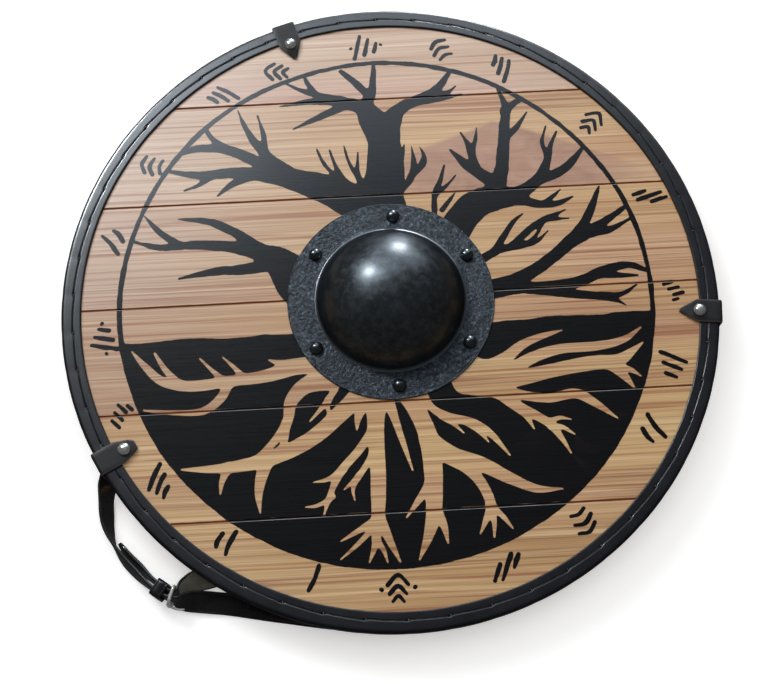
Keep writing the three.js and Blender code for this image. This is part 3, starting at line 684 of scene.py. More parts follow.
CROWN = [
    # trunk and its fork
    [(-8, 78, 32), (-6, 98, 25), (-1, 118, 18.5), (2, 142, 16.5), (3, 164, 15.5), (1, 178, 14.5)],
    [(0, 170, 14.5), (-7, 186, 13.5), (-16, 199, 9.5), (-34, 206, 6.6), (-60, 209, 4.4), (-96, 205, 1.0)],
    [(-36, 208, 5), (-58, 215, 4), (-76, 222, 2.4), (-92, 231, 0.8)],
    [(-60, 216, 3), (-68, 228, 2.6), (-72, 239, 1.0)],
    [(-30, 204, 6), (-48, 196, 4.4), (-66, 188, 3), (-84, 180, 1.0)],
    [(-14, 200, 8), (-7, 214, 5.4), (-4, 230, 3.6), (-3, 245, 2.2)],
    [(-9, 212, 5), (-21, 226, 4.4), (-35, 240, 2.8)],
    [(5, 170, 13.5), (11, 184, 11), (19, 195, 8), (34, 203, 6), (58, 205, 3.8), (82, 209, 0.9)],
    [(28, 202, 5.4), (46, 209, 5.6), (60, 218, 4.6), (70, 232, 2.8)],
    [(56, 212, 3), (68, 212, 2.2), (76, 218, 0.9)],
    # left limbs
    [(-22, 96, 19), (-48, 112, 16), (-78, 124, 12.5), (-108, 132, 9), (-142, 137, 6.5), (-174, 136, 4.8), (-206, 142, 1.6)],
    [(-80, 128, 8), (-104, 146, 6.6), (-119, 164, 5), (-130, 184, 3), (-137, 203, 0.9)],
    [(-112, 158, 4), (-113, 176, 3), (-118, 196, 0.9)],
    [(-104, 136, 8), (-128, 152, 6.5), (-154, 163, 5.6), (-184, 163, 4), (-212, 151, 1.2)],
    [(-150, 163, 4), (-164, 176, 3.2), (-172, 194, 1.0)],
    [(-128, 132, 5), (-146, 124, 3.6), (-158, 114, 1.0)],
    [(-160, 137, 4), (-176, 126, 2.8), (-190, 121, 0.9)],
    [(-76, 16, 14), (-88, 30, 17), (-102, 44, 14), (-124, 55, 9.5), (-152, 62, 6.6), (-186, 65, 5), (-214, 64, 3.6), (-240, 72, 1.4)],
    [(-120, 57, 7), (-144, 76, 5.2), (-168, 88, 4), (-196, 92, 1.0)],
    [(-196, 66, 4), (-214, 80, 3.4), (-228, 97, 1.0)],
    [(-108, 42, 9), (-136, 38, 6), (-164, 37, 4.4), (-196, 32, 1.2)],
    [(-84, -4, 5), (-92, 14, 12), (-104, 36, 10)],
    # thin shoots beside the trunk
    [(-20, 112, 3.4), (-24, 132, 2.6), (-23, 152, 0.8)],
    [(-23, 122, 2.4), (-32, 142, 2.2), (-36, 160, 0.8)],
    [(-34, 116, 4), (-44, 136, 2.8), (-50, 156, 0.8)],
    [(-46, 128, 2.4), (-57, 144, 2), (-63, 160, 0.7)],
    [(14, 108, 4), (26, 122, 3.6), (30, 138, 3), (29, 156, 0.8)],
    [(26, 124, 3), (38, 136, 4), (40, 146, 2.2), (36, 156, 0.7)],
    [(18, 118, 2), (19, 136, 2), (22, 158, 0.7)],
    [(46, 84, 3), (48, 104, 3.2), (54, 118, 2.6), (59, 134, 0.8)],
    [(48, 104, 2.6), (60, 113, 2.2), (70, 124, 0.8)],
    [(54, 88, 3), (62, 98, 2.2), (68, 106, 0.7)],
    # right limbs
    [(58, 58, 16), (72, 78, 15), (88, 93, 14.5), (112, 98, 12), (128, 95, 7.4), (146, 89, 4.6), (164, 89, 3.6), (179, 95, 1.2)],
    [(106, 104, 10), (113, 124, 8), (117, 148, 6.8), (120, 172, 6.2), (123, 192, 4.8), (117, 212, 1.6)],
    [(121, 188, 5), (134, 198, 3.6), (146, 203, 1.2)],
    [(118, 158, 4.6), (131, 170, 3.4), (143, 186, 1.0)],
    [(108, 112, 8), (92, 124, 6.8), (78, 136, 5.2), (66, 150, 1.2)],
    [(90, 126, 5.4), (86, 144, 4.6), (83, 156, 3.2), (77, 168, 0.8)],
    [(87, 148, 3), (91, 160, 2.2), (93, 172, 0.7)],
    [(116, 98, 10), (134, 104, 8), (150, 118, 6), (158, 134, 4.8), (163, 150, 3), (170, 164, 0.9)],
    [(158, 140, 3), (155, 154, 2.6), (160, 170, 0.8)],
    [(150, 114, 5), (170, 122, 5.4), (184, 134, 4), (197, 150, 1.0)],
    [(152, 90, 3), (160, 96, 2.4), (168, 103, 0.8)],
    # lower right limbs
    [(84, 34, 5), (104, 44, 4.6), (124, 48, 4.6), (140, 51, 3), (152, 61, 0.9)],
    [(100, 43, 4), (110, 58, 3.6), (120, 72, 2.8), (130, 80, 0.9)],
    [(118, 49, 4), (134, 63, 4.2), (148, 72, 3.6), (160, 77, 2.6), (171, 82, 0.8)],
    [(150, 73, 2.6), (162, 73, 2.2), (173, 73, 0.8)],
    [(136, 52, 2.6), (144, 62, 2), (150, 73, 0.7)],
    [(84, 6, 9), (110, 11, 8.4), (134, 21, 7.2), (156, 36, 7), (174, 50, 8), (194, 60, 6.4), (216, 74, 3.6), (234, 86, 1.6)],
    [(180, 54, 6), (190, 72, 5), (198, 88, 4.2), (205, 104, 1.2)],
    [(176, 54, 4), (180, 62, 3), (187, 70, 0.9)],
    [(194, 58, 5.6), (212, 60, 4.2), (232, 70, 1.0)],
    [(84, 0, 7.5), (120, 5, 6), (152, 6, 6.2), (178, 9, 6.4), (202, 19, 5.4), (224, 23, 4), (240, 17, 3)],
    [(196, 15, 4.4), (214, 13, 3.2), (232, 12, 0.9)],
    [(130, 3, 4.6), (164, -2, 5), (192, -6, 4.6), (214, -6, 3), (230, 3, 0.9)],
    [(196, -7, 4), (210, -12, 2.6), (218, -17, 0.8)],
]
ROOTS = [
    [(-64, -58, 9), (-92, -60, 9), (-118, -67, 7), (-150, -70, 6), (-186, -73, 6), (-212, -67, 5), (-228, -52, 3.6), (-240, -37, 0.8)],
    [(-196, -71, 4), (-209, -57, 3), (-219, -40, 1.4)],
    [(-138, -68, 4), (-148, -56, 2), (-157, -47, 0.8)],
    [(-156, -70, 4), (-168, -58, 2), (-178, -47, 0.8)],
    [(-92, -58, 6), (-106, -55, 3), (-115, -52, 0.8)],
    [(-152, -72, 5), (-160, -86, 5), (-176, -97, 4), (-202, -97, 2.6), (-232, -93, 0.8)],
    [(-58, -72, 12), (-82, -78, 9), (-96, -92, 7), (-100, -110, 5.2), (-112, -128, 4), (-128, -142, 2), (-136, -146, 0.8)],
    [(-101, -112, 4), (-104, -130, 3.4), (-112, -142, 1.4)],
    [(-32, -88, 10), (-52, -106, 9), (-76, -126, 8.4), (-104, -140, 8), (-134, -148, 7), (-166, -151, 4.6), (-196, -150, 1.0)],
    [(-120, -146, 7), (-126, -164, 5.6), (-128, -178, 3.6), (-127, -193, 0.8)],
    [(-154, -150, 4.4), (-160, -162, 3), (-162, -174, 0.8)],
    [(-56, -84, 3.4), (-66, -97, 2.8), (-80, -112, 0.8)],
    [(-62, -92, 2.4), (-63, -102, 2), (-60, -113, 0.7)],
    [(-30, -98, 6), (-36, -110, 4), (-38, -122, 0.9)],
    [(-16, -90, 13), (-20, -108, 9.5), (-21, -132, 8.4), (-21, -160, 8), (-22, -186, 7.6), (-24, -206, 6), (-27, -226, 3.6), (-33, -242, 0.9)],
    [(-22, -202, 5.4), (-15, -222, 4.2), (-6, -243, 0.9)],
    [(-26, -222, 3.4), (-20, -232, 2.4), (-17, -243, 0.8)],
    [(-23, -204, 4.6), (-40, -213, 3), (-57, -222, 0.8)],
    [(-28, -212, 3), (-43, -226, 2.2), (-58, -238, 0.7)],
    [(-24, -124, 5), (-38, -142, 4.4), (-53, -158, 4.2), (-63, -176, 3.2), (-71, -198, 0.9)],
    [(-52, -158, 3.4), (-66, -166, 2.4), (-79, -168, 0.8)],
    [(-62, -182, 2.6), (-76, -189, 1.8), (-87, -190, 0.7)],
    [(-25, -146, 3.4), (-38, -164, 3), (-52, -176, 0.8)],
    [(-38, -164, 2.4), (-44, -176, 1.8), (-43, -186, 0.7)],
    [(-8, -96, 6), (-2, -118, 4), (4, -140, 2.6), (10, -162, 0.8)],
    [(10, -88, 12), (17, -106, 9.5), (25, -128, 9.5), (28, -152, 9.8), (28, -178, 9), (26, -202, 8), (20, -222, 5), (11, -242, 0.9)],
    [(27, -196, 5), (34, -212, 4), (37, -229, 0.9)],
    [(24, -176, 5), (13, -190, 3.4), (2, -204, 0.9)],
    [(26, -134, 9), (46, -150, 9), (72, -160, 8), (98, -175, 6), (120, -185, 4), (142, -186, 0.9)],
    [(38, -148, 8), (58, -162, 6.4), (71, -178, 5.4), (77, -197, 5), (71, -212, 2.8), (66, -222, 0.9)],
    [(77, -198, 3.6), (79, -212, 2.6), (78, -226, 0.8)],
    [(77, -197, 3.6), (87, -208, 2.6), (95, -219, 0.8)],
    [(24, -90, 3.6), (30, -104, 3.8), (44, -114, 4.6), (66, -121, 4.6), (82, -132, 3.8), (98, -153, 0.9)],
    [(40, -114, 3), (50, -122, 2), (58, -130, 0.7)],
    [(64, -122, 3), (74, -132, 2), (80, -140, 0.7)],
    [(54, -66, 16), (80, -72, 11), (100, -63, 7), (118, -50, 5), (136, -43, 3.4), (156, -38, 0.8)],
    [(76, -74, 12), (104, -73, 7.4), (126, -63, 6.4), (152, -56, 5.4), (186, -55, 5), (212, -50, 3.6), (229, -39, 0.9)],
    [(76, -80, 12), (108, -82, 9), (144, -76, 7.6), (180, -71, 8), (204, -70, 7), (218, -62, 4), (229, -54, 0.9)],
    [(196, -72, 6.4), (208, -84, 4.6), (217, -97, 1.0)],
    [(206, -76, 4), (216, -80, 2.6), (224, -86, 0.8)],
    [(64, -82, 13), (90, -90, 10), (110, -97, 5.6), (138, -102, 5), (162, -99, 5.4), (178, -108, 4.4), (198, -124, 0.9)],
    [(92, -92, 8), (106, -106, 6), (122, -116, 5), (136, -126, 4.4), (146, -140, 2.8), (153, -154, 0.8)],
    [(108, -108, 4), (116, -118, 3), (122, -130, 0.8)],
    [(138, -128, 3), (148, -130, 2.4), (158, -137, 0.8)],
    [(136, -124, 3), (146, -121, 2), (156, -123, 0.7)],
]


def place(marks, angle, radius=267.0, turn=0.0, size=1.0):
    """Strokes drawn round the origin, moved to a place on the border, their +y outwards."""
    a = math.radians(angle)
    out, side = (math.cos(a), math.sin(a)), (math.sin(a), -math.cos(a))
    c, s = math.cos(math.radians(turn)), math.sin(math.radians(turn))
    done = []
    for path_ in marks:
        row = []
        for x, y, w in path_:
            x, y = size * (x * c - y * s), size * (x * s + y * c)
            row.append((radius * out[0] + x * side[0] + y * out[0], radius * out[1] + x * side[1] + y * out[1], w))
        done.append(row)
    return done


def dashes(lengths, tilt, gap=6.6, bow=0.0, stagger=(0.0,), w=1.9):
    """A row of short brush strokes side by side, all leaning the same way, tapering a little."""
    out_, dx, dy = [], math.sin(math.radians(tilt)), math.cos(math.radians(tilt))
    for i, long_ in enumerate(lengths):
        x0, up = (i - (len(lengths) - 1) / 2) * gap, stagger[i % len(stagger)]
        out_.append([(x0 - dx * long_ / 2, up - dy * long_ / 2, w * 0.92), (x0 + bow, up, w), (x0 + dx * long_ / 2, up + dy * long_ / 2, w * 0.74)])
    return out_


# Plain ornamental strokes: slanting dashes, nested chevrons and arcs.
RUN_A = dashes((25, 18, 10), 24, 8.6, stagger=(0, -1.5, -3.5), w=2.3)
RUN_B = dashes((11, 18, 25), -22, 8.6, 0.8, stagger=(3, 1, 0), w=2.3)
RUN_C = dashes((12, 24, 15), 33, 9.4, stagger=(-3, 0, 3), w=2.3)
RUN_D = dashes((24, 14), 36, 10.4, 1.6, stagger=(1.0, -4), w=2.3)
NESTED = [[(-9, 3, 1.9), (0, 11.5, 2.0), (9, 3, 1.7)], [(-7.5, -5, 1.9), (0, 2.2, 2.0), (7.5, -5, 1.7)], [(-5, -11.5, 1.7), (0, -6.6, 1.8), (5, -11.5, 1.5)]]
ARCS = [[(-10, 2, 1.8), (-4, 9.5, 2), (6, 10, 1.6)], [(-8, -6, 1.8), (-2, 1.2, 2), (8, 2, 1.6)], [(-3, -12, 1.7), (3, -7, 1.8), (10, -6.6, 1.4)]]
STAIR = [[(-11, 8, 1.9), (-1, 10.5, 1.8)], [(-6, 1.4, 1.9), (5, 3.8, 1.8)], [(-1, -5.6, 1.9), (10, -3, 1.8)], [(-2, -12, 1.7), (4, -10.5, 1.5)]]
SINGLE = [[(-3.5, -11, 1.9), (-1, 0, 2.2), (3.5, 11, 1.7)]]
DOTS = [[(-15, -1, 1.7), (-14.4, -0.6, 1.7)], [(15, 1, 1.7), (14.4, 1.4, 1.7)]]
MARKS = [
    (112, NESTED, 60, 0.95, 262), (92, RUN_A, 8, 1.0, 267), (76, ARCS, 20, 0.95, 267), (63, RUN_B, -12, 0.95, 266),
    (40, NESTED, 10, 1.0, 268), (20, RUN_C, 30, 1.0, 268), (-1, STAIR, 90, 0.8, 264), (-17, RUN_A, 15, 1.0, 267),
    (-31, RUN_D, 10, 1.05, 268), (-54, ARCS, -30, 1.0, 268), (-71, RUN_C, -8, 1.0, 267), (-92, NESTED, 180, 1.0, 266),
    (-108, SINGLE, 10, 1.0, 266), (-126, RUN_D, 45, 0.92, 269.5), (217, RUN_B, 8, 1.0, 268), (201, STAIR, 10, 0.9, 268),
    (185, RUN_A, 8, 0.95, 268), (164, RUN_D, 0, 1.0, 268), (146, ARCS, 0, 0.95, 266), (125, RUN_B, 0, 0.95, 266),
]
border = []
for angle, marks, turn_, size_, radius_ in MARKS:
    border += place(marks, angle, radius_, turn_, size_)
for angle in (92, -92, 185):
    border += place(DOTS, angle, 266)

rough_a, rough_b = Noise(5), Noise(6)
ragged = 0.42 * rough_a.at(GX / 7.0, GY / 7.0) + 0.16 * rough_b.at(GX / 2.6, GY / 2.6)
rho = np.hypot(GX - RING[0], GY - RING[1])
middle = RING[2] + 1.2 * rough_a.at(GX / 90.0 + 7, GY / 90.0)
ring = np.abs(rho - middle) - 2.35 - 0.25 * rough_b.at(GX / 30.0, GY / 30.0)
crown = np.maximum(strokes(CROWN, 5, soft=3.0), rho - middle)
level = -26.5 + 0.012 * GX + 1.9 * rough_a.at(GX / 38.0 + 3, 0.5) + 0.9 * rough_a.at(GX / 13.0, 2.5)
roots = strokes(ROOTS, 5, soft=3.0) + ragged * 0.6
ground = np.maximum(np.maximum(rho - middle, GY - level), -roots)
FIELD = np.minimum(np.minimum(ring, crown), np.minimum(ground, strokes(border, 4, soft=1.0, slim=0.0))) + ragged
FIELD = np.maximum(FIELD, 86.0 - np.hypot(GX, GY))


def sample(x, y):
    """FIELD at any points, by bilinear interpolation."""
    u, v = (np.asarray(x) - axis[0]) / STEP, (np.asarray(y) - axis[0]) / STEP
    u, v = np.clip(u, 0, len(axis) - 1.001), np.clip(v, 0, len(axis) - 1.001)
    i, j = u.astype(int), v.astype(int)
    u, v = u - i, v - j
    F = FIELD
    return (F[j, i] * (1 - u) + F[j, i + 1] * u) * (1 - v) + (F[j + 1, i] * (1 - u) + F[j + 1, i + 1] * u) * v


LEVELS = [(28.0, 0.5), (28.5, 0.0), (36.2, 0.0), (36.3, 0.25), (37.1, 0.38), (37.70, 0.55), (38.0, 1.0)]
LIP = 1.0                     # how far the bevelled lip reaches in from a joint
wobble = Noise(11)
WOODS = [
    dict(seed=21, rosy=0.65, lines=0.35, force=0.70, pale=srgb(220, 194, 172), tan=srgb(208, 178, 154), rose=srgb(214, 174, 158), left=(srgb(198, 178, 166), 0.5)),
    dict(seed=34, rosy=0.40, lines=0.50, force=0.85, figure=True, pale=srgb(218, 184, 138), tan=srgb(200, 160, 112), left=(srgb(196, 172, 158), 0.75)),
    dict(seed=47, rosy=0.60, lines=0.65, force=1.0, pale=srgb(216, 182, 132), tan=srgb(198, 158, 110), rose=srgb(204, 156, 128), left=(srgb(194, 168, 154), 0.75)),
    dict(seed=58, rosy=0.55, lines=0.75, force=1.1, pale=srgb(208, 172, 122), tan=srgb(188, 146, 98), rose=srgb(194, 146, 116), left=(srgb(180, 148, 128), 0.7)),
    dict(seed=63, rosy=0.45, lines=0.75, force=1.0, pale=srgb(214, 180, 124), tan=srgb(198, 158, 106), rose=srgb(200, 152, 120), left=(srgb(198, 162, 128), 0.4)),
    dict(seed=75, rosy=0.35, lines=0.90, force=1.2, pale=srgb(208, 174, 122), tan=srgb(188, 148, 98), rose=srgb(198, 150, 116), left=(srgb(220, 188, 140), 0.6)),
]
BACK_WOOD = wood("back_wood", 90, varnish=False, lines=0.45, rosy=0.4)
for k in range(6):
    bottom, top = plank_span(k)
    flat = plank_outline(bottom, top)
    rows, ink, lip_highlight = [], [], []
    for i, (z, inset) in enumerate(LEVELS):
        p = flat.copy()
        wob = 1 + 0.22 * wobble.at(flat[:, 0] / 9.0, flat[:, 1] / 40.0 + k)
        upper = np.zeros(len(p), bool)
        if top is not None:
            upper = flat[:, 1] > top - 0.9
            p[:, 1] = np.minimum(p[:, 1], top - inset * wob)
        if bottom is not None:
            p[:, 1] = np.maximum(p[:, 1], bottom + inset * wob)
        rows.append(np.column_stack([p, np.full(len(p), z)]))
        painted = np.clip(-sample(p[:, 0], p[:, 1]) / 0.6, 0, 1)
        ink.append(painted)
        # Only the bevel along a plank's upper edge, which faces the light, is marked for the painted highlight; the
        # mark is stronger over the paint.
        lip_highlight.append(np.where(upper & (i >= 5), 0.9, 0.0) * (0.45 + 0.55 * painted))
    n = len(flat)
    b = Build()
    b.grid(np.array(rows), close_v=True)
    last = len(LEVELS) - 1
    b.m = [2 if f // n >= 2 else 1 for f in range(len(b.f))]
    b.f.append(list(range(n)))
    b.m.append(1)
    b.f.append([last * n + j for j in range(n)])
    b.m.append(0)
    mats = [wood(f"plank_{k + 1}_wood", **WOODS[k]), BACK_WOOD, SEAM]
    b.make(f"shield_plank_{k + 1}", mats, slot="plank_wood", stands=[f"plank_{k + 1}"], sharp=25, flat_faces=True,
           attrs={"ink": np.concatenate(ink), "lip_highlight": np.concatenate(lip_highlight)})


def contours(F, xs, ys, iso):
    """Lines where F crosses iso, as lists of points."""
    V = F - iso
    V = np.where(np.abs(V) < 1e-7, 1e-7, V)
    inside = V < 0
    nx = len(xs)
    code = (inside[:-1, :-1] * 1 + inside[:-1, 1:] * 2 + inside[1:, 1:] * 4 + inside[1:, :-1] * 8)
    cells = np.argwhere((code > 0) & (code < 15))
    table = {1: [(3, 0)], 2: [(0, 1)], 3: [(3, 1)], 4: [(1, 2)], 5: [(3, 0), (1, 2)], 6: [(0, 2)], 7: [(3, 2)], 8: [(2, 3)],
             9: [(2, 0)], 10: [(0, 1), (2, 3)], 11: [(2, 1)], 12: [(1, 3)], 13: [(1, 0)], 14: [(0, 3)]}
    points, links = {}, {}

    def key(j, i, e):
        return {0: (j, i, 0), 1: (j, i + 1, 1), 2: (j + 1, i, 0), 3: (j, i, 1)}[e]

    def at(k):
        j, i, way = k
        if way == 0:
            a, b = V[j, i], V[j, i + 1]
            t = a / (a - b)
            return xs[i] + t * (xs[i + 1] - xs[i]), ys[j]
        a, b = V[j, i], V[j + 1, i]
        t = a / (a - b)
        return xs[i], ys[j] + t * (ys[j + 1] - ys[j])

    for j, i in cells:
        for e0, e1 in table[int(code[j, i])]:
            a, b = key(j, i, e0), key(j, i, e1)
            links.setdefault(a, []).append(b)
            links.setdefault(b, []).append(a)
    lines, used = [], set()
    starts = [k for k, v in links.items() if len(v) == 1] + list(links)
    for s in starts:
        if s in used:
            continue
        chain, here = [s], s
        used.add(s)
        while True:
            following = [q for q in links[here] if q not in used]
            if not following:
                break
            here = following[0]
            used.add(here)
            chain.append(here)
        closed = len(chain) > 2 and s in links[chain[-1]]
        lines.append((np.array([at(k) for k in chain]), closed))
    return lines


def thin(p, closed, tol):
    """Drops points that lie on the line between their neighbours."""
    keep = np.ones(len(p), bool)
    for phase in (1, 0, 1, 0, 1):
        idx = np.flatnonzero(keep)
        if len(idx) < 6:
            break
        q = p[idx]
        a, b = np.roll(q, 1, 0), np.roll(q, -1, 0)
        d = b - a
        length = np.maximum(np.hypot(d[:, 0], d[:, 1]), 1e-9)
        off = np.abs((q[:, 0] - a[:, 0]) * d[:, 1] - (q[:, 1] - a[:, 1]) * d[:, 0]) / length
        drop = (off < tol) & (np.arange(len(q)) % 2 == phase) & (length < 14)
        if not closed:
            drop[0] = drop[-1] = False
        keep[idx[drop]] = False
    return p[keep]


EDGE_W = 0.5
paint = Build()
paint_edge = []
for k in range(6):
    bottom, top = plank_span(k)
    y0 = max(bottom + LIP, -286) if bottom is not None else -286.0
    y1 = min(top - LIP, 286) if top is not None else 286.0
    ys = np.linspace(y0, y1, int((y1 - y0) / STEP) + 2)
    xs = axis
    XX, YY = np.meshgrid(xs, ys, indexing="xy")
    F = sample(XX, YY)
    verts, edges = [], []

    def feed(p, closed):
        n0 = len(verts)
        verts.extend([(float(a), float(b)) for a, b in p])
        edges.extend([(n0 + i, n0 + i + 1) for i in range(len(p) - 1)])
        if closed:
            edges.append((n0 + len(p) - 1, n0))

    for iso in (0.0, -EDGE_W):
        for line_, closed_ in contours(F, xs, ys, iso):
            if len(line_) >= 4:
                feed(thin(line_, closed_, 0.035), closed_)
    feed([(xs[0], y0), (xs[-1], y0), (xs[-1], y1), (xs[0], y1)], True)
    out_v, _, out_f, _, _, _ = delaunay_2d_cdt([Vector(v) for v in verts], edges, [], 0, 1e-5)
    P = np.array([tuple(v) for v in out_v])
    T = np.array([tuple(f) for f in out_f if len(f) == 3])
    c = P[T].mean(1)
    a2, b2, c2 = P[T[:, 0]], P[T[:, 1]], P[T[:, 2]]
    area = (b2[:, 0] - a2[:, 0]) * (c2[:, 1] - a2[:, 1]) - (b2[:, 1] - a2[:, 1]) * (c2[:, 0] - a2[:, 0])
    T[area < 0] = T[area < 0][:, ::-1]
    ok = (sample(c[:, 0], c[:, 1]) < 0) & (c[:, 1] > y0) & (c[:, 1] < y1) & (np.abs(area) > 1e-6)
    T = T[ok]
    used = np.unique(T)
    back = np.zeros(len(P), int)
    back[used] = np.arange(len(used))
    Q = P[used]
    val = sample(Q[:, 0], Q[:, 1])
    paint_edge.append(np.clip(-val / EDGE_W, 0, 1))
    paint.add(np.column_stack([Q, np.full(len(Q), PAINT_Z)]), back[T])
picture = paint.make("painted_picture", [PAINT], slot="plank_wood", sheet=True, attrs={"edge": np.concatenate(paint_edge)})
print("paint triangles", len(picture.data.polygons))

# ---- leather edge --------------------------------------------------------------------
stitch_phase = 3.2
period = 360.0 / STITCHES
PAINTED_SHADE = []
N_EDGE = 1200
theta = np.linspace(0, 360, N_EDGE, endpoint=False)
near = np.abs(((theta - stitch_phase) / period + 0.5) % 1.0 - 0.5) * period  # degrees to the nearest hole
hole = np.exp(-((near * math.pi / 180 * LACE_R) / 1.3) ** 2)
pull = np.exp(-((near * math.pi / 180 * LACE_R) / 5.0) ** 2)
slack = Noise(31)
run = ((theta - stitch_phase) / period) % 1.0                     # how far along its stitch
jog = np.where(near < 0.32, -(((theta - stitch_phase) / period + 0.5) % 1.0 - 0.5) * period / 0.32, 2 * run - 1) * 0.6
half = [
    (286.42, 38.4, .09, 0), (286.40, 39.5, .09, 0), (286.55, 40.0, .09, 0), (287.0, 40.26, .05, 0), (288.2, 40.3, 0, 0), (290.5, 40.3, 0, .3),
    (292.2, 40.3, 0, .6), (293.0, 40.3, 0, 1), (293.38, 40.22, .5, 1), (293.62, 39.85, 1, 1), (294.0, 39.68, 1, 1),
    (294.38, 39.85, 1, 1), (294.62, 40.22, .5, 1), (295.0, 40.3, 0, 1), (296.2, 40.3, 0, .8), (298.6, 40.3, 0, .8), (301.0, 40.3, 0, .8), (302.3, 40.22, 0, .5),
    (303.4, 39.85, .05, .3), (304.2, 39.2, .08, .2), (304.75, 38.2, .08, .1), (304.98, 36.6, .06, 0), (304.98, 34.6, .06, 0),
]
rows = []
for i, (r, z, deep, press) in enumerate(half):
    dz = -(0.35 * (deep > 0.2)) * hole - 0.10 * press * pull - 0.06 * (0.5 + 0.5 * slack.at(theta / 5.1, i * 0.35))
    if i < 2:
        dz = dz * 0
    rr = r - (0.16 * pull + 0.14 * (0.5 + 0.5 * slack.at(theta / 9.0 + 40, 0.0))) * (1 if r > 302 else 0) \
        + (0.25 * slack.at(theta / 3.3 + 90, 0.5)) * (1 if i < 4 else 0) * (1 if r < 290 else 0)
    rows.append((rr + jog * (1.0 if deep > 0.2 else 0.5 if press == 1 else 0.0), z + dz))
    # Painted shade for each row: full in the stitch groove, round the holes in the pressed band, and part-way on the
    # rounded inner and outer edges.
    PAINTED_SHADE.append(np.clip((0.85 if deep > 0.2 else 8.0) * deep + 0.8 * (press == 1) * hole, 0, 1) + 0 * theta)
mid = (FACE_TOP + FACE_BOTTOM) / 2
mirror = [(r, 2 * mid - z) for r, z in reversed(rows)]
inner = [(302.98 + 0 * theta, np.full(N_EDGE, 27.72)), (302.98 + 0 * theta, np.full(N_EDGE, 38.28))]
full = rows + mirror + [(286.44 + 0 * theta, np.full(N_EDGE, 27.66))] + inner + [(286.44 + 0 * theta, np.full(N_EDGE, 38.34))]
ct, st = np.cos(np.radians(theta)), np.sin(np.radians(theta))
P = np.array([np.column_stack([r * ct, r * st, z + 0 * theta]) for r, z in full])
b = Build()
b.grid(P.transpose(1, 0, 2), close_u=True, close_v=True)
none = 0 * theta
painted_shade_rows = PAINTED_SHADE + PAINTED_SHADE[::-1] + [none, none, none, none]
b.make("edge_binding", [RIM], slot="edge_leather", stands=["edge_leather"], sharp=60, attrs={"deep": np.array(painted_shade_rows).T.ravel()})


# ---- lacing: one twisted stitch between each pair of holes, with a short tack over each hole -----
def twisted(build, line, radius, sides, pitch, start=0.0, mat=0):
    """A two-strand thread along a line: its section has two lobes that turn."""
    line = np.asarray(line, float)
    tangent = np.gradient(line, axis=0)
    tangent /= np.linalg.norm(tangent, axis=1)[:, None]
    seg = np.r_[0, np.cumsum(np.linalg.norm(np.diff(line, axis=0), axis=1))]
    up = np.array([0, 0, 1.0])
    side = np.cross(tangent, up)
    side /= np.linalg.norm(side, axis=1)[:, None]
    top = np.cross(side, tangent)
    a = np.linspace(0, 2 * math.pi, sides, endpoint=False)
    rows_ = []
    for i in range(len(line)):
        tw = start + 2 * math.pi * seg[i] / pitch
        rr = radius * (0.78 + 0.30 * np.abs(np.cos(a - tw)))
        rows_.append(line[i] + (rr * np.cos(a))[:, None] * side[i] + (rr * np.sin(a))[:, None] * top[i])
    build.grid(np.array(rows_), close_v=True, cap_u=True, mat=mat)


b = Build()
rs = np.random.RandomState(8)
for face in (1, -1):
    for j in range(STITCHES):
        a0, a1 = stitch_phase + j * period + 0.12, stitch_phase + (j + 1) * period - 0.12
        n = 27 if face > 0 else 11
        s = np.linspace(0, 1, n)
        a = np.radians(a0 + (a1 - a0) * s)
        off = rs.uniform(-0.08, 0.08)
        r = LACE_R + off * np.sin(math.pi * s) + 0.6 * (2 * s - 1)
        dive = np.exp(-(s * 34 / 1.3) ** 2) + np.exp(-((1 - s) * 34 / 1.3) ** 2)
        z = 39.92 - 1.5 * dive + 0.05 * np.sin(math.pi * s)
        if face < 0:
            z = 2 * mid - z
        twisted(b, np.column_stack([r * np.cos(a), r * np.sin(a), z]), 0.30, 8 if face > 0 else 6, 2.4, rs.uniform(0, 6))
        ah = stitch_phase + j * period
        for tilt in (rs.uniform(-22, 22),):
            t = math.radians(ah)
            out, along = np.array([math.cos(t), math.sin(t), 0]), np.array([-math.sin(t), math.cos(t), 0])
            tl = math.radians(tilt)
            d = out * math.cos(tl) + along * math.sin(tl)
            q = np.linspace(-1, 1, 7)
            zz = (40.0 - 0.6 * q ** 4) if face > 0 else (2 * mid - (40.0 - 0.6 * q ** 4))
            line_ = (out * LACE_R)[None, :] + q[:, None] * d * 1.5
            line_[:, 2] = zz
            twisted(b, line_, 0.40, 6, 2.0, mat=1)
b.make("edge_stitching", [THREAD, TACK_GLINT], slot="lacing", stands=["edge_lacing"], sharp=70)

# ---- boss ---------------------------------------------------------------------------
N_BOSS = 384
SPHERE_R, SPHERE_Z, FLANGE_Z = 70.0, 26.1, 40.1
ang = np.linspace(0, 360, N_BOSS, endpoint=False)
ca, sa = np.cos(np.radians(ang)), np.sin(np.radians(ang))
hammer_a, hammer_b, hammer_c = Noise(41), Noise(42), Noise(43)
top_rows, kinds = [], []
for t in np.linspace(1.2, 74.0, 46):
    top_rows.append((SPHERE_R * math.sin(math.radians(t)), SPHERE_Z + SPHERE_R * math.cos(math.radians(t)), 0.0))
for r, z in ((68.35, 43.1), (68.75, 42.0), (69.2, 41.2), (69.8, 40.62), (70.6, 40.26), (71.6, 40.12)):
    top_rows.append((r, z, 0.0))
for r in np.arange(72.6, 95.4, 0.95):
    top_rows.append((r, FLANGE_Z - 0.05, 1.0))
for r, z in ((95.7, 40.02), (96.05, 39.8), (96.25, 39.45), (96.3, 38.9), (96.2, 38.45), (95.9, 38.32)):
    top_rows.append((r, z, 0.25))
pts = []
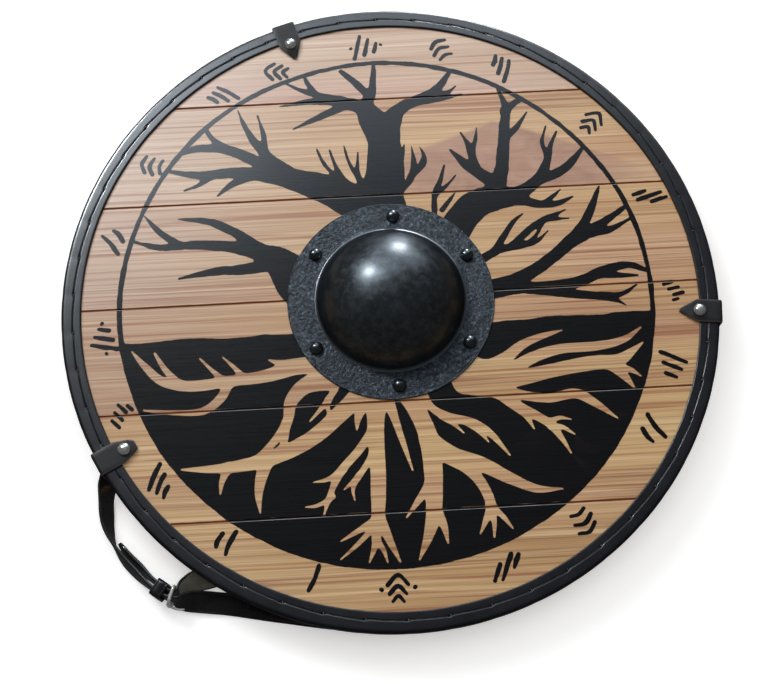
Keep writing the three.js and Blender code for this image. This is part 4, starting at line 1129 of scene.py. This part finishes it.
for r, z, rough_ in top_rows:
    rr = np.full(N_BOSS, r)
    X, Y = rr * ca, rr * sa
    pits = 0.5 * hammer_a.at(X / 2.6, Y / 2.6) + 0.35 * hammer_b.at(X / 1.5, Y / 1.5) + 0.4 * hammer_c.at(X / 7.0, Y / 7.0)
    zz = z - rough_ * 0.16 * (1 + pits)
    if r > 95.5:
        rr = rr - 0.18 * (0.5 + 0.5 * hammer_c.at(ang / 7.0, 1.5))
        X, Y = rr * ca, rr * sa
    pts.append(np.column_stack([X, Y, zz]))
n_top = len(pts)
inner_r = SPHERE_R - 1.8
for r in np.linspace(94.5, 68.6, 4):
    pts.append(np.column_stack([r * ca, r * sa, np.full(N_BOSS, 38.3)]))
for t in np.linspace(79.5, 2.0, 22):
    r, z = inner_r * math.sin(math.radians(t)), SPHERE_Z + inner_r * math.cos(math.radians(t))
    pts.append(np.column_stack([r * ca, r * sa, np.full(N_BOSS, z)]))
b = Build()
P = np.array(pts)
b.grid(P.transpose(1, 0, 2), close_u=True)
# The fillet rows at the dome's root take the lighter steel of the painted sheen.
b.m = [(lambda q: 0 if q < 46 or q >= n_top + 3 else 2 if 46 <= q <= 49 else 1)(i % (len(pts) - 1)) for i in range(len(b.f))]
nv = len(pts)
top_i = b.n
b.add([(0, 0, SPHERE_Z + SPHERE_R)], [], 0)
b.f += [[top_i, j * nv, ((j + 1) % N_BOSS) * nv] for j in range(N_BOSS)]
b.m += [0] * N_BOSS
low_i = b.n
b.add([(0, 0, SPHERE_Z + inner_r)], [], 0)
b.f += [[low_i, ((j + 1) % N_BOSS) * nv + nv - 1, j * nv + nv - 1] for j in range(N_BOSS)]
b.m += [0] * N_BOSS
b.make("boss_shell", [DOME, FLANGE, ROOT_STEEL], slot="black_steel", stands=["boss"], sharp=60)


# ---- rivets ---------------------------------------------------------------------------
def dome_profile(R, H, z0, steps=10):
    out = [(0.0, z0 + H)]
    for i in range(1, steps + 1):
        t = math.radians(90 * i / steps)
        out.append((R * math.sin(t), z0 + H * math.cos(t)))
    return out


def rivet(name, at, R, H, z0, tail_top, mats, slot, stands, tail_r=4.4, seed=0):
    prof = dome_profile(R, H, z0 + 0.15)
    prof += [(R - 0.12, z0 - 0.02), (R - 0.9, z0 - 0.12), (2.1, z0 - 0.12), (2.1, tail_top)]
    prof += [(tail_r - 0.15, tail_top), (tail_r, tail_top - 0.2), (tail_r, tail_top - 0.75), (tail_r - 0.2, tail_top - 0.95), (2.7, tail_top - 0.95)]
    prof += [(2.65, tail_top - 1.35), (2.2, tail_top - 1.85), (1.3, tail_top - 2.15), (0.0, tail_top - 2.2)]
    b = Build()
    lathe(b, prof, 44, at)
    v = np.concatenate(b.v)
    nz = Noise(200 + seed)
    d = v[:, :2] - np.array(at)
    high = v[:, 2] > z0
    v[high, 2] -= 0.09 * (0.5 + 0.5 * nz.at(d[high, 0] / 2.2, d[high, 1] / 2.2))
    b.v = [v]
    return b.make(name, mats, slot=slot, stands=stands, sharp=50)


for i, (r, a) in enumerate(BOSS_RIVETS):
    at = polar(r, a)
    in_grip = abs(at[0]) < 13.6
    rivet(f"boss_stud_{i + 1}", at, 6.2, 5.2, FLANGE_Z + 0.3, 3.9 if in_grip else 27.7, [RIVET_BLACK], "black_steel", [f"boss_rivet_{i + 1}"], seed=i)
CLIP_TOP = FACE_TOP + 0.3 + 2.0
U_Z = 28 - 2 - 2 - 0.9 - 1.5
for i, (nm, (a, r)) in enumerate(CLIPS.items()):
    rivet(f"clip_stud_{nm}", polar(r, a), 5.7, 4.1, CLIP_TOP + 0.3, U_Z - 1.5 - 0.9, [NICKEL], "bright_steel", [f"clip_rivet_{nm}"], seed=10 + i)


# ---- rim clips ---------------------------------------------------------------------------
def clip(name, angle, rivet_r, blunt=0.0, skew=0.0):
    slope_r = rivet_r - 5.7 - 0.8
    top, bottom = CLIP_TOP, FACE_BOTTOM - 0.3 - 2.0
    web = SHIELD_R + 0.3
    tip, shoulder, hw = 267.5, 284.0, 11.0
    # middle line of the leather from the tip, over the rim, to the back tip
    path_ = [(tip, top - 3.0)]
    for r in np.linspace(tip + 1.5, slope_r - 1, 6):
        path_.append((r, top - 3.0 + 2.0 * (r - tip) / (slope_r - tip)))
    for r in np.linspace(slope_r, web - 1.2, 12):
        path_.append((r, top - 1.0))
    for t in np.linspace(80, -80, 9):
        path_.append((web - 0.9 + 1.9 * math.cos(math.radians(t)), (top - 2.9 if t > 0 else bottom + 2.9) + 1.9 * math.sin(math.radians(t))))
    for r in np.linspace(web - 1.2, tip, 18):
        path_.append((r, bottom + 1.0))
    path_ = np.array(path_)
    tan = np.gradient(path_, axis=0)
    tan /= np.linalg.norm(tan, axis=1)[:, None]
    nor = np.column_stack([-tan[:, 1], tan[:, 0]])  # outwards of the fold
    s_in = np.linspace(-1, 1, 15)
    nz = Noise(300 + int(angle))
    top_g, low_g, edge_t, edge_l = [], [], [], []
    for i, ((r, z), n_) in enumerate(zip(path_, nor)):
        front = i < 28
        if r < shoulder:
            f = (r - tip) / (shoulder - tip)
            w = (1.2 + blunt) + (hw - 1.2 - blunt) * f ** (0.92 - 0.06 * blunt)
        else:
            w = hw - 0.25 * abs(nz.at(r / 4.0, 0.5 + front))
        rt, rl, et, el = [], [], [], []
        for s in s_in:
            lift = 0.5 * (abs(s) ** 6)
            up = (1.0 - 0.45 * abs(s) ** 10) - (0.10 * (1 + nz.at(s * 1.6, r / 5.0)))
            y = w * s + skew * (1 - (r - tip) / (web - tip)) * (1 if r < shoulder + 8 else 0)
            rt.append((r + n_[0] * up, y, z + n_[1] * up))
            rl.append((r - n_[0] * 0.98, y * (1 - 0.004), z - n_[1] * 0.98))
            et.append(1.0 if abs(s) > 0.995 or i in (0, len(path_) - 1) else 0.0)
            el.append(1.0)
        top_g.append(rt); low_g.append(rl); edge_t.append(et); edge_l.append(el)
    T, L = np.array(top_g), np.array(low_g)
    loop = np.concatenate([T, L[:, ::-1]], axis=1)          # closed section across the strip
    e = np.concatenate([np.array(edge_t), np.array(edge_l)[:, ::-1]], axis=1).ravel()
    c, s = math.cos(math.radians(angle)), math.sin(math.radians(angle))
    X, Y, Z = loop[..., 0], loop[..., 1], loop[..., 2]
    X = np.minimum(X, SHIELD_R + 2.28)
    P = np.stack([X * c - Y * s, X * s + Y * c, Z], axis=-1)
    b = Build()
    b.grid(P, close_v=True, cap_u=True)
    b.make(name, [CLIP], slot="strap_leather", stands=[name.replace("clip_leather", "rim_clip")], sharp=42, attrs={"edge": e})


clip("clip_leather_top", *CLIPS["top"])
clip("clip_leather_right", *CLIPS["right"])
clip("clip_leather_left", *CLIPS["left"], blunt=3.0, skew=0.5)

# ---- grip ------------------------------------------------------------------------------
GRIP_WOOD = wood("grip_wood_oiled", 120, varnish=False, along="Y", pale=srgb(188, 150, 108), tan=srgb(168, 126, 84), rosy=0.35, lines=0.5)
rows = []
n_y = 97
for i in range(n_y):
    y = -237 + 474 * i / (n_y - 1)
    waist = math.exp(-((2 * y / 120.0) ** 4))
    end = max(0.0, (abs(y) - 170) / 70)
    hw = 18 - waist * 3.5 - 5 * end * end
    z0 = 0.0 if abs(y) <= 178 else (abs(y) - 178) / 63.0 * (27.7 - 13)
    cap = max(0.0, (abs(y) - 233.5) / 3.5)
    hw -= 2.2 * cap * cap
    z1 = 27.7 - 1.4 * cap * cap
    z0 += 1.6 * cap * cap
    rr = 3.0 + 2.4 * waist
    sec = []
    for cx, cz, a0 in ((hw - rr, z0 + rr, -90), (hw - 2.2, z1 - 2.2, 0), (-hw + 2.2, z1 - 2.2, 90), (-hw + rr, z0 + rr, 180)):
        r_ = rr if cz < 15 or a0 in (-90, 180) else 2.2
        for q in range(5):
            t = math.radians(a0 + 90 * q / 4)
            sec.append((cx + r_ * math.cos(t), y, cz + r_ * math.sin(t)))
    rows.append(sec)
b = Build()
b.grid(np.array(rows), close_v=True, cap_u=True)
grip = b.make("grip_bar", [GRIP_WOOD], slot="grip_wood", stands=["grip"], sharp=50)
cutter = Build()
for r, a in BOSS_RIVETS:
    at = polar(r, a)
    if abs(at[0]) < 13.6:
        lathe(cutter, [(0.0, -2.0), (5.0, -2.0), (5.0, 4.2), (0.0, 4.2)], 40, at)
co = cutter.make("recess_cutter", [GRIP_WOOD])
mod = grip.modifiers.new("recess", "BOOLEAN")
mod.object, mod.operation, mod.solver = co, "DIFFERENCE", "EXACT"
bpy.context.view_layer.update()
done = bpy.data.meshes.new_from_object(grip.evaluated_get(bpy.context.evaluated_depsgraph_get()))
grip.modifiers.clear()
grip.data = done
bpy.data.objects.remove(co)
done.set_sharp_from_angle(angle=math.radians(50))


# ---- straps ----------------------------------------------------------------------------
class Route:
    def __init__(self, points):
        self.p = np.asarray(points, float)
        self.spans = len(points) - 1
        self.q = np.vstack([2 * self.p[0] - self.p[1], self.p, 2 * self.p[-1] - self.p[-2]])

    def raw(self, u):
        i = min(int(u), self.spans - 1)
        s = u - i
        a, b_, c, d = self.q[i:i + 4]
        v = 0.5 * (2 * b_ + (c - a) * s + (2 * a - 5 * b_ + 4 * c - d) * s * s + (3 * b_ - a - 3 * c + d) * s ** 3)
        t = 0.5 * ((c - a) + 2 * (2 * a - 5 * b_ + 4 * c - d) * s + 3 * (3 * b_ - a - 3 * c + d) * s * s)
        return v, t

    def at(self, u):
        v, t = self.raw(u)
        centre, along = v[:3], t[:3] / np.linalg.norm(t[:3])
        lean = math.radians(v[3])
        out = np.array([along[1], -along[0], 0.0])
        out /= np.linalg.norm(out)
        up = np.cross(out, along)
        up /= np.linalg.norm(up)
        width = up * math.cos(lean) + out * math.sin(lean)
        face = np.cross(along, width)
        face /= np.linalg.norm(face)
        return centre, along, out, width, face


U, F = U_Z, 1.8
top_rivet, right_rivet, left_rivet = (np.array(polar(CLIPS[n][1], CLIPS[n][0])) for n in ("top", "right", "left"))
carry = Route([
    [left_rivet[0] + 9.5, left_rivet[1] + 9.5, U, 90], [left_rivet[0], left_rivet[1], U, 90], [-257.5, -140.5, U - 2.5, 82],
    [-264.8, -152.5, 15, 52], [-267.6, -166, 11.2, 30], [-267.4, -181, 10.7, 27], [-265.8, -194, 10.7, 17], [-261, -209, 10.9, -2],
    [-252, -223.5, 11.4, -14], [-240.5, -236.5, 12.2, -15], [-229, -248, 13.5, -6], [-217.5, -257, 14.1, -3], [-208, -261.5, 14, -8],
    [-199, -263, 11.2, -42], [-188, -263.3, 7, -70], [-173, -264.8, 2.9, -88], [-155, -267.5, F, -90], [-110, -276.5, F, -90],
    [-48, -286.5, F, -90], [20, -285, F, -90], [95, -262, F, -90], [160, -221, F, -90], [215, -167, F, -90], [250, -112, F + 0.6, -90],
    [270, -72, 7.5, -90], [278.5, -51, 14.5, -90], [282.6, -40, 19.6, -90], [right_rivet[0] - 0.3, right_rivet[1] - 6, U - 0.4, -90],
    [right_rivet[0] + 0.2, right_rivet[1] + 11, U - 0.3, -90],
])
besides = []
for index, apart, lean_ in zip([7.1, 8, 9, 10, 11, 12], [4.8, 5.6, 6, 6, 6, 6], [-8, -14, -15, -6, -3, -8]):
    c_, _, o_, _, _ = carry.at(index)
    q_ = c_ - o_ * apart
    besides.append([q_[0], q_[1], q_[2], lean_])
buckled = Route(besides + [
    [-196.5, -249.5, 10.8, -42], [-186.5, -244.5, 6.6, -70], [-172, -241, 2.9, -88], [-142, -233, F, -90], [-109, -206, F, -90],
    [-91, -160, F, -90], [-85, -90, F, -90], [-84, 0, F, -90], [-83.5, 90, F, -90], [-83.2, 170, F, -90], [-83, 215, 4, -90],
    [-82.8, 243, 12.5, -90], [top_rivet[0], top_rivet[1] - 8, U - 0.5, -90], [top_rivet[0], top_rivet[1] + 11, U, -90],
])


def strap_section(hw, ht, k=1.0):
    """Section points (across, out) with its kind: 0 face, 1 edge, 2 inner face. Creased near both edges on the outer face."""
    c = [(-hw, 0, 1), (-hw + 0.12, ht * 0.62, 1), (-hw + 0.55, ht * 0.95, 1), (-hw + 1.1, ht, 0), (-hw + 1.55, ht - 0.05, 0), (-hw + 1.95, ht - 0.30, 0),
         (-hw + 2.35, ht - 0.05, 0), (-hw + 3.0, ht, 0), (-hw * 0.35, ht, 0), (0, ht, 0), (hw * 0.35, ht, 0)]
    right = [(-x, y, t) for x, y, t in reversed(c) if x < -hw * 0.35 - 1e-6]
    low = [(hw - 0.12, -ht * 0.62, 1), (hw - 0.55, -ht * 0.95, 1), (hw - 1.1, -ht, 2), (hw * 0.5, -ht, 2), (0, -ht, 2), (-hw * 0.5, -ht, 2),
           (-hw + 1.1, -ht, 2), (-hw + 0.55, -ht * 0.95, 1), (-hw + 0.12, -ht * 0.62, 1)]
    return c + right + low


def strap(name, route, u0, u1, taper_start, flip, stands, seed, per=9, flesh=1e9):
    """flip: which side of the band carries the creased outer face. taper_start rounds the free tip."""
    sec = strap_section(10.0, 1.5)
    nz = Noise(seed)
    us = np.linspace(u0, u1, int((u1 - u0) * per) + 1)
    if taper_start:
        us = np.concatenate([np.linspace(u0, u0 + 0.8, 14), us[us > u0 + 0.85]])
    pos = np.array([route.at(u)[0] for u in us])
    dist = np.r_[0, np.cumsum(np.linalg.norm(np.diff(pos, axis=0), axis=1))]
    rows_, edge = [], []
    for u, d in zip(us, dist):
        centre, along, out, width, face = route.at(u)
        k = 1.0
        if taper_start and d < 11:
            k = max(0.10, math.sqrt(max(0.0, 1 - ((11 - d) / 11) ** 2)))
        sgn = -1 if flip else 1
        rip = 0.10 * nz.at(d / 9.0, 0.5)
        row, er = [], []
        for x, y, t in sec:
            xx = x * k
            cup = -0.10 * (x / 10.0) ** 2 * (1 if t == 0 else 0)
            yy = (y + cup) * (1 if k > 0.4 else 0.6 + k) * sgn
            row.append(centre + width * xx + face * yy * (1.0 - 0.03 * abs(rip)))
            er.append(1.0 if t == 1 else 0.0)
        rows_.append(row)
        edge.append(er)
    P_ = np.array(rows_)
    b_ = Build()
    b_.grid(P_, close_v=True, cap_u=True)
    ns = len(sec)
    mats_ = [STRAP, SUEDE]
    fm_ = []
    for i in range(len(P_) - 1):
        for j in range(ns):
            fm_.append(1 if flesh <= us[i] and sec[j][2] == 2 and sec[(j + 1) % ns][2] == 2 else 0)
    fm_ += [0, 0]
    b_.m = fm_
    return b_.make(name, mats_, slot="strap_leather", stands=stands, sharp=48, attrs={"edge": np.array(edge).ravel()})


strap("carrying_band", carry, 0.0, carry.spans, False, False, ["carrying_strap"], 71)
strap("buckled_band", buckled, 0.0, buckled.spans, True, True, ["buckle_strap"], 72, flesh=5.3)


# ---- keeper and buckle --------------------------------------------------------------------
def loop_frame(index):
    centre, along, out, _, _ = carry.at(index)
    flat_ = np.array([along[0], along[1], 0.0])
    flat_ /= np.linalg.norm(flat_)
    return centre - out * 3.0, out, np.array([0, 0, 1.0]), flat_


def rounded(hx, hy, r, n=8):
    pts_ = []
    for cx, cy, a0 in ((hx - r, hy - r, 0), (-hx + r, hy - r, 90), (-hx + r, -hy + r, 180), (hx - r, -hy + r, 270)):
        for q in range(n + 1):
            t = math.radians(a0 + 90 * q / n)
            pts_.append((cx + r * math.cos(t), cy + r * math.sin(t)))
    # extra points on the long sides
    out_ = []
    for i, p_ in enumerate(pts_):
        out_.append(p_)
        q_ = pts_[(i + 1) % len(pts_)]
        gap = math.hypot(q_[0] - p_[0], q_[1] - p_[1])
        for s_ in range(1, int(gap / 2.5)):
            f_ = s_ / int(gap / 2.5)
            out_.append((p_[0] + (q_[0] - p_[0]) * f_, p_[1] + (q_[1] - p_[1]) * f_))
    return np.array(out_)


HX, HY = (6 + 3) / 2 + 1.6, 10 + 0.6
o_, ax_, az_, af_ = loop_frame(10.7)
ring_ = rounded(HX + 1.0, HY + 1.0, 2.6)
nxt, prv = np.roll(ring_, -1, 0), np.roll(ring_, 1, 0)
tg = nxt - prv
tg /= np.linalg.norm(tg, axis=1)[:, None]
nm_ = np.column_stack([tg[:, 1], -tg[:, 0]])
sec = [(-5.5, 0.2, 1), (-5.3, 0.75, 1), (-4.8, 1.0, 0), (-3.9, 0.95, 0), (-3.4, 0.80, 0), (-2.9, 0.96, 0), (0, 1.0, 0), (2.9, 0.96, 0), (3.4, 0.80, 0), (3.9, 0.95, 0),
       (4.8, 1.0, 0), (5.3, 0.75, 1), (5.5, 0.2, 1), (5.4, -0.7, 1), (4.9, -0.98, 0), (0, -0.98, 0), (-4.9, -0.98, 0), (-5.4, -0.7, 1)]
rows_, er = [], []
for p_, n_ in zip(ring_, nm_):
    row = []
    for along_, outn, t in sec:
        q_ = p_ + n_ * outn
        row.append(o_ + ax_ * q_[0] + az_ * q_[1] + af_ * along_)
        er.append(float(t))
    rows_.append(row)
b = Build()
b.grid(np.array(rows_), close_u=True, close_v=True)
b.make("keeper_loop", [STRAP], slot="strap_leather", stands=["keeper"], sharp=48, attrs={"edge": np.array(er)})

o_, ax_, az_, af_ = loop_frame(11.85)
WR = 1.5
ring_ = rounded(HX + WR + 0.1, HY + WR + 0.1, 3.5)
nxt, prv = np.roll(ring_, -1, 0), np.roll(ring_, 1, 0)
tg = nxt - prv
tg /= np.linalg.norm(tg, axis=1)[:, None]
nm_ = np.column_stack([tg[:, 1], -tg[:, 0]])
a = np.linspace(0, 2 * math.pi, 14, endpoint=False)
rows_ = []
for p_, n_ in zip(ring_, nm_):
    row = []
    for t in a:
        q_ = p_ + n_ * WR * math.cos(t) * 0.98
        row.append(o_ + ax_ * q_[0] + az_ * q_[1] + af_ * WR * math.sin(t) * 0.98)
    rows_.append(row)
b = Build()
b.grid(np.array(rows_), close_u=True, close_v=True)
# tongue: an eye round the frame's outer side and a tapering pin
hx = HX + WR + 0.1
eye = []
for t in np.linspace(0, 2 * math.pi, 20, endpoint=False):
    c0 = np.array([hx + 2.35 * math.sin(t), 2.35 * math.cos(t)])   # across, along
    row = []
    for s in np.linspace(0, 2 * math.pi, 10, endpoint=False):
        rr = 0.80
        v = c0 + rr * math.cos(s) * np.array([math.sin(t), math.cos(t)])
        row.append(o_ + ax_ * v[0] + af_ * v[1] + az_ * (1.35 * math.sin(s)))
    eye.append(row)
b.grid(np.array(eye), close_u=True, close_v=True)
pin = []
for d in np.linspace(0, 1, 12):
    x = hx + 1.6 + 1.0 * math.sin(math.pi * d) - 1.2 * d
    y = 1.5 + 12.4 * d
    rr = 1.15 - 0.25 * d
    if d > 0.97:
        rr *= 0.55
    row = []
    for s in np.linspace(0, 2 * math.pi, 12, endpoint=False):
        row.append(o_ + ax_ * (x + rr * math.cos(s)) + af_ * y + az_ * (rr * math.sin(s)))
    pin.append(row)
b.grid(np.array(pin), close_v=True, cap_u=True)
b.make("strap_buckle", [BUCKLE_NICKEL], slot="bright_steel", stands=["buckle"], sharp=50)

# ---- sizes ---------------------------------------------------------------------------------
new_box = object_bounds()


def plain(x):
    try:
        return [plain(v) for v in x]
    except TypeError:
        return float(x)


{"cad": plain(cad_box), "visual": plain(new_box)}
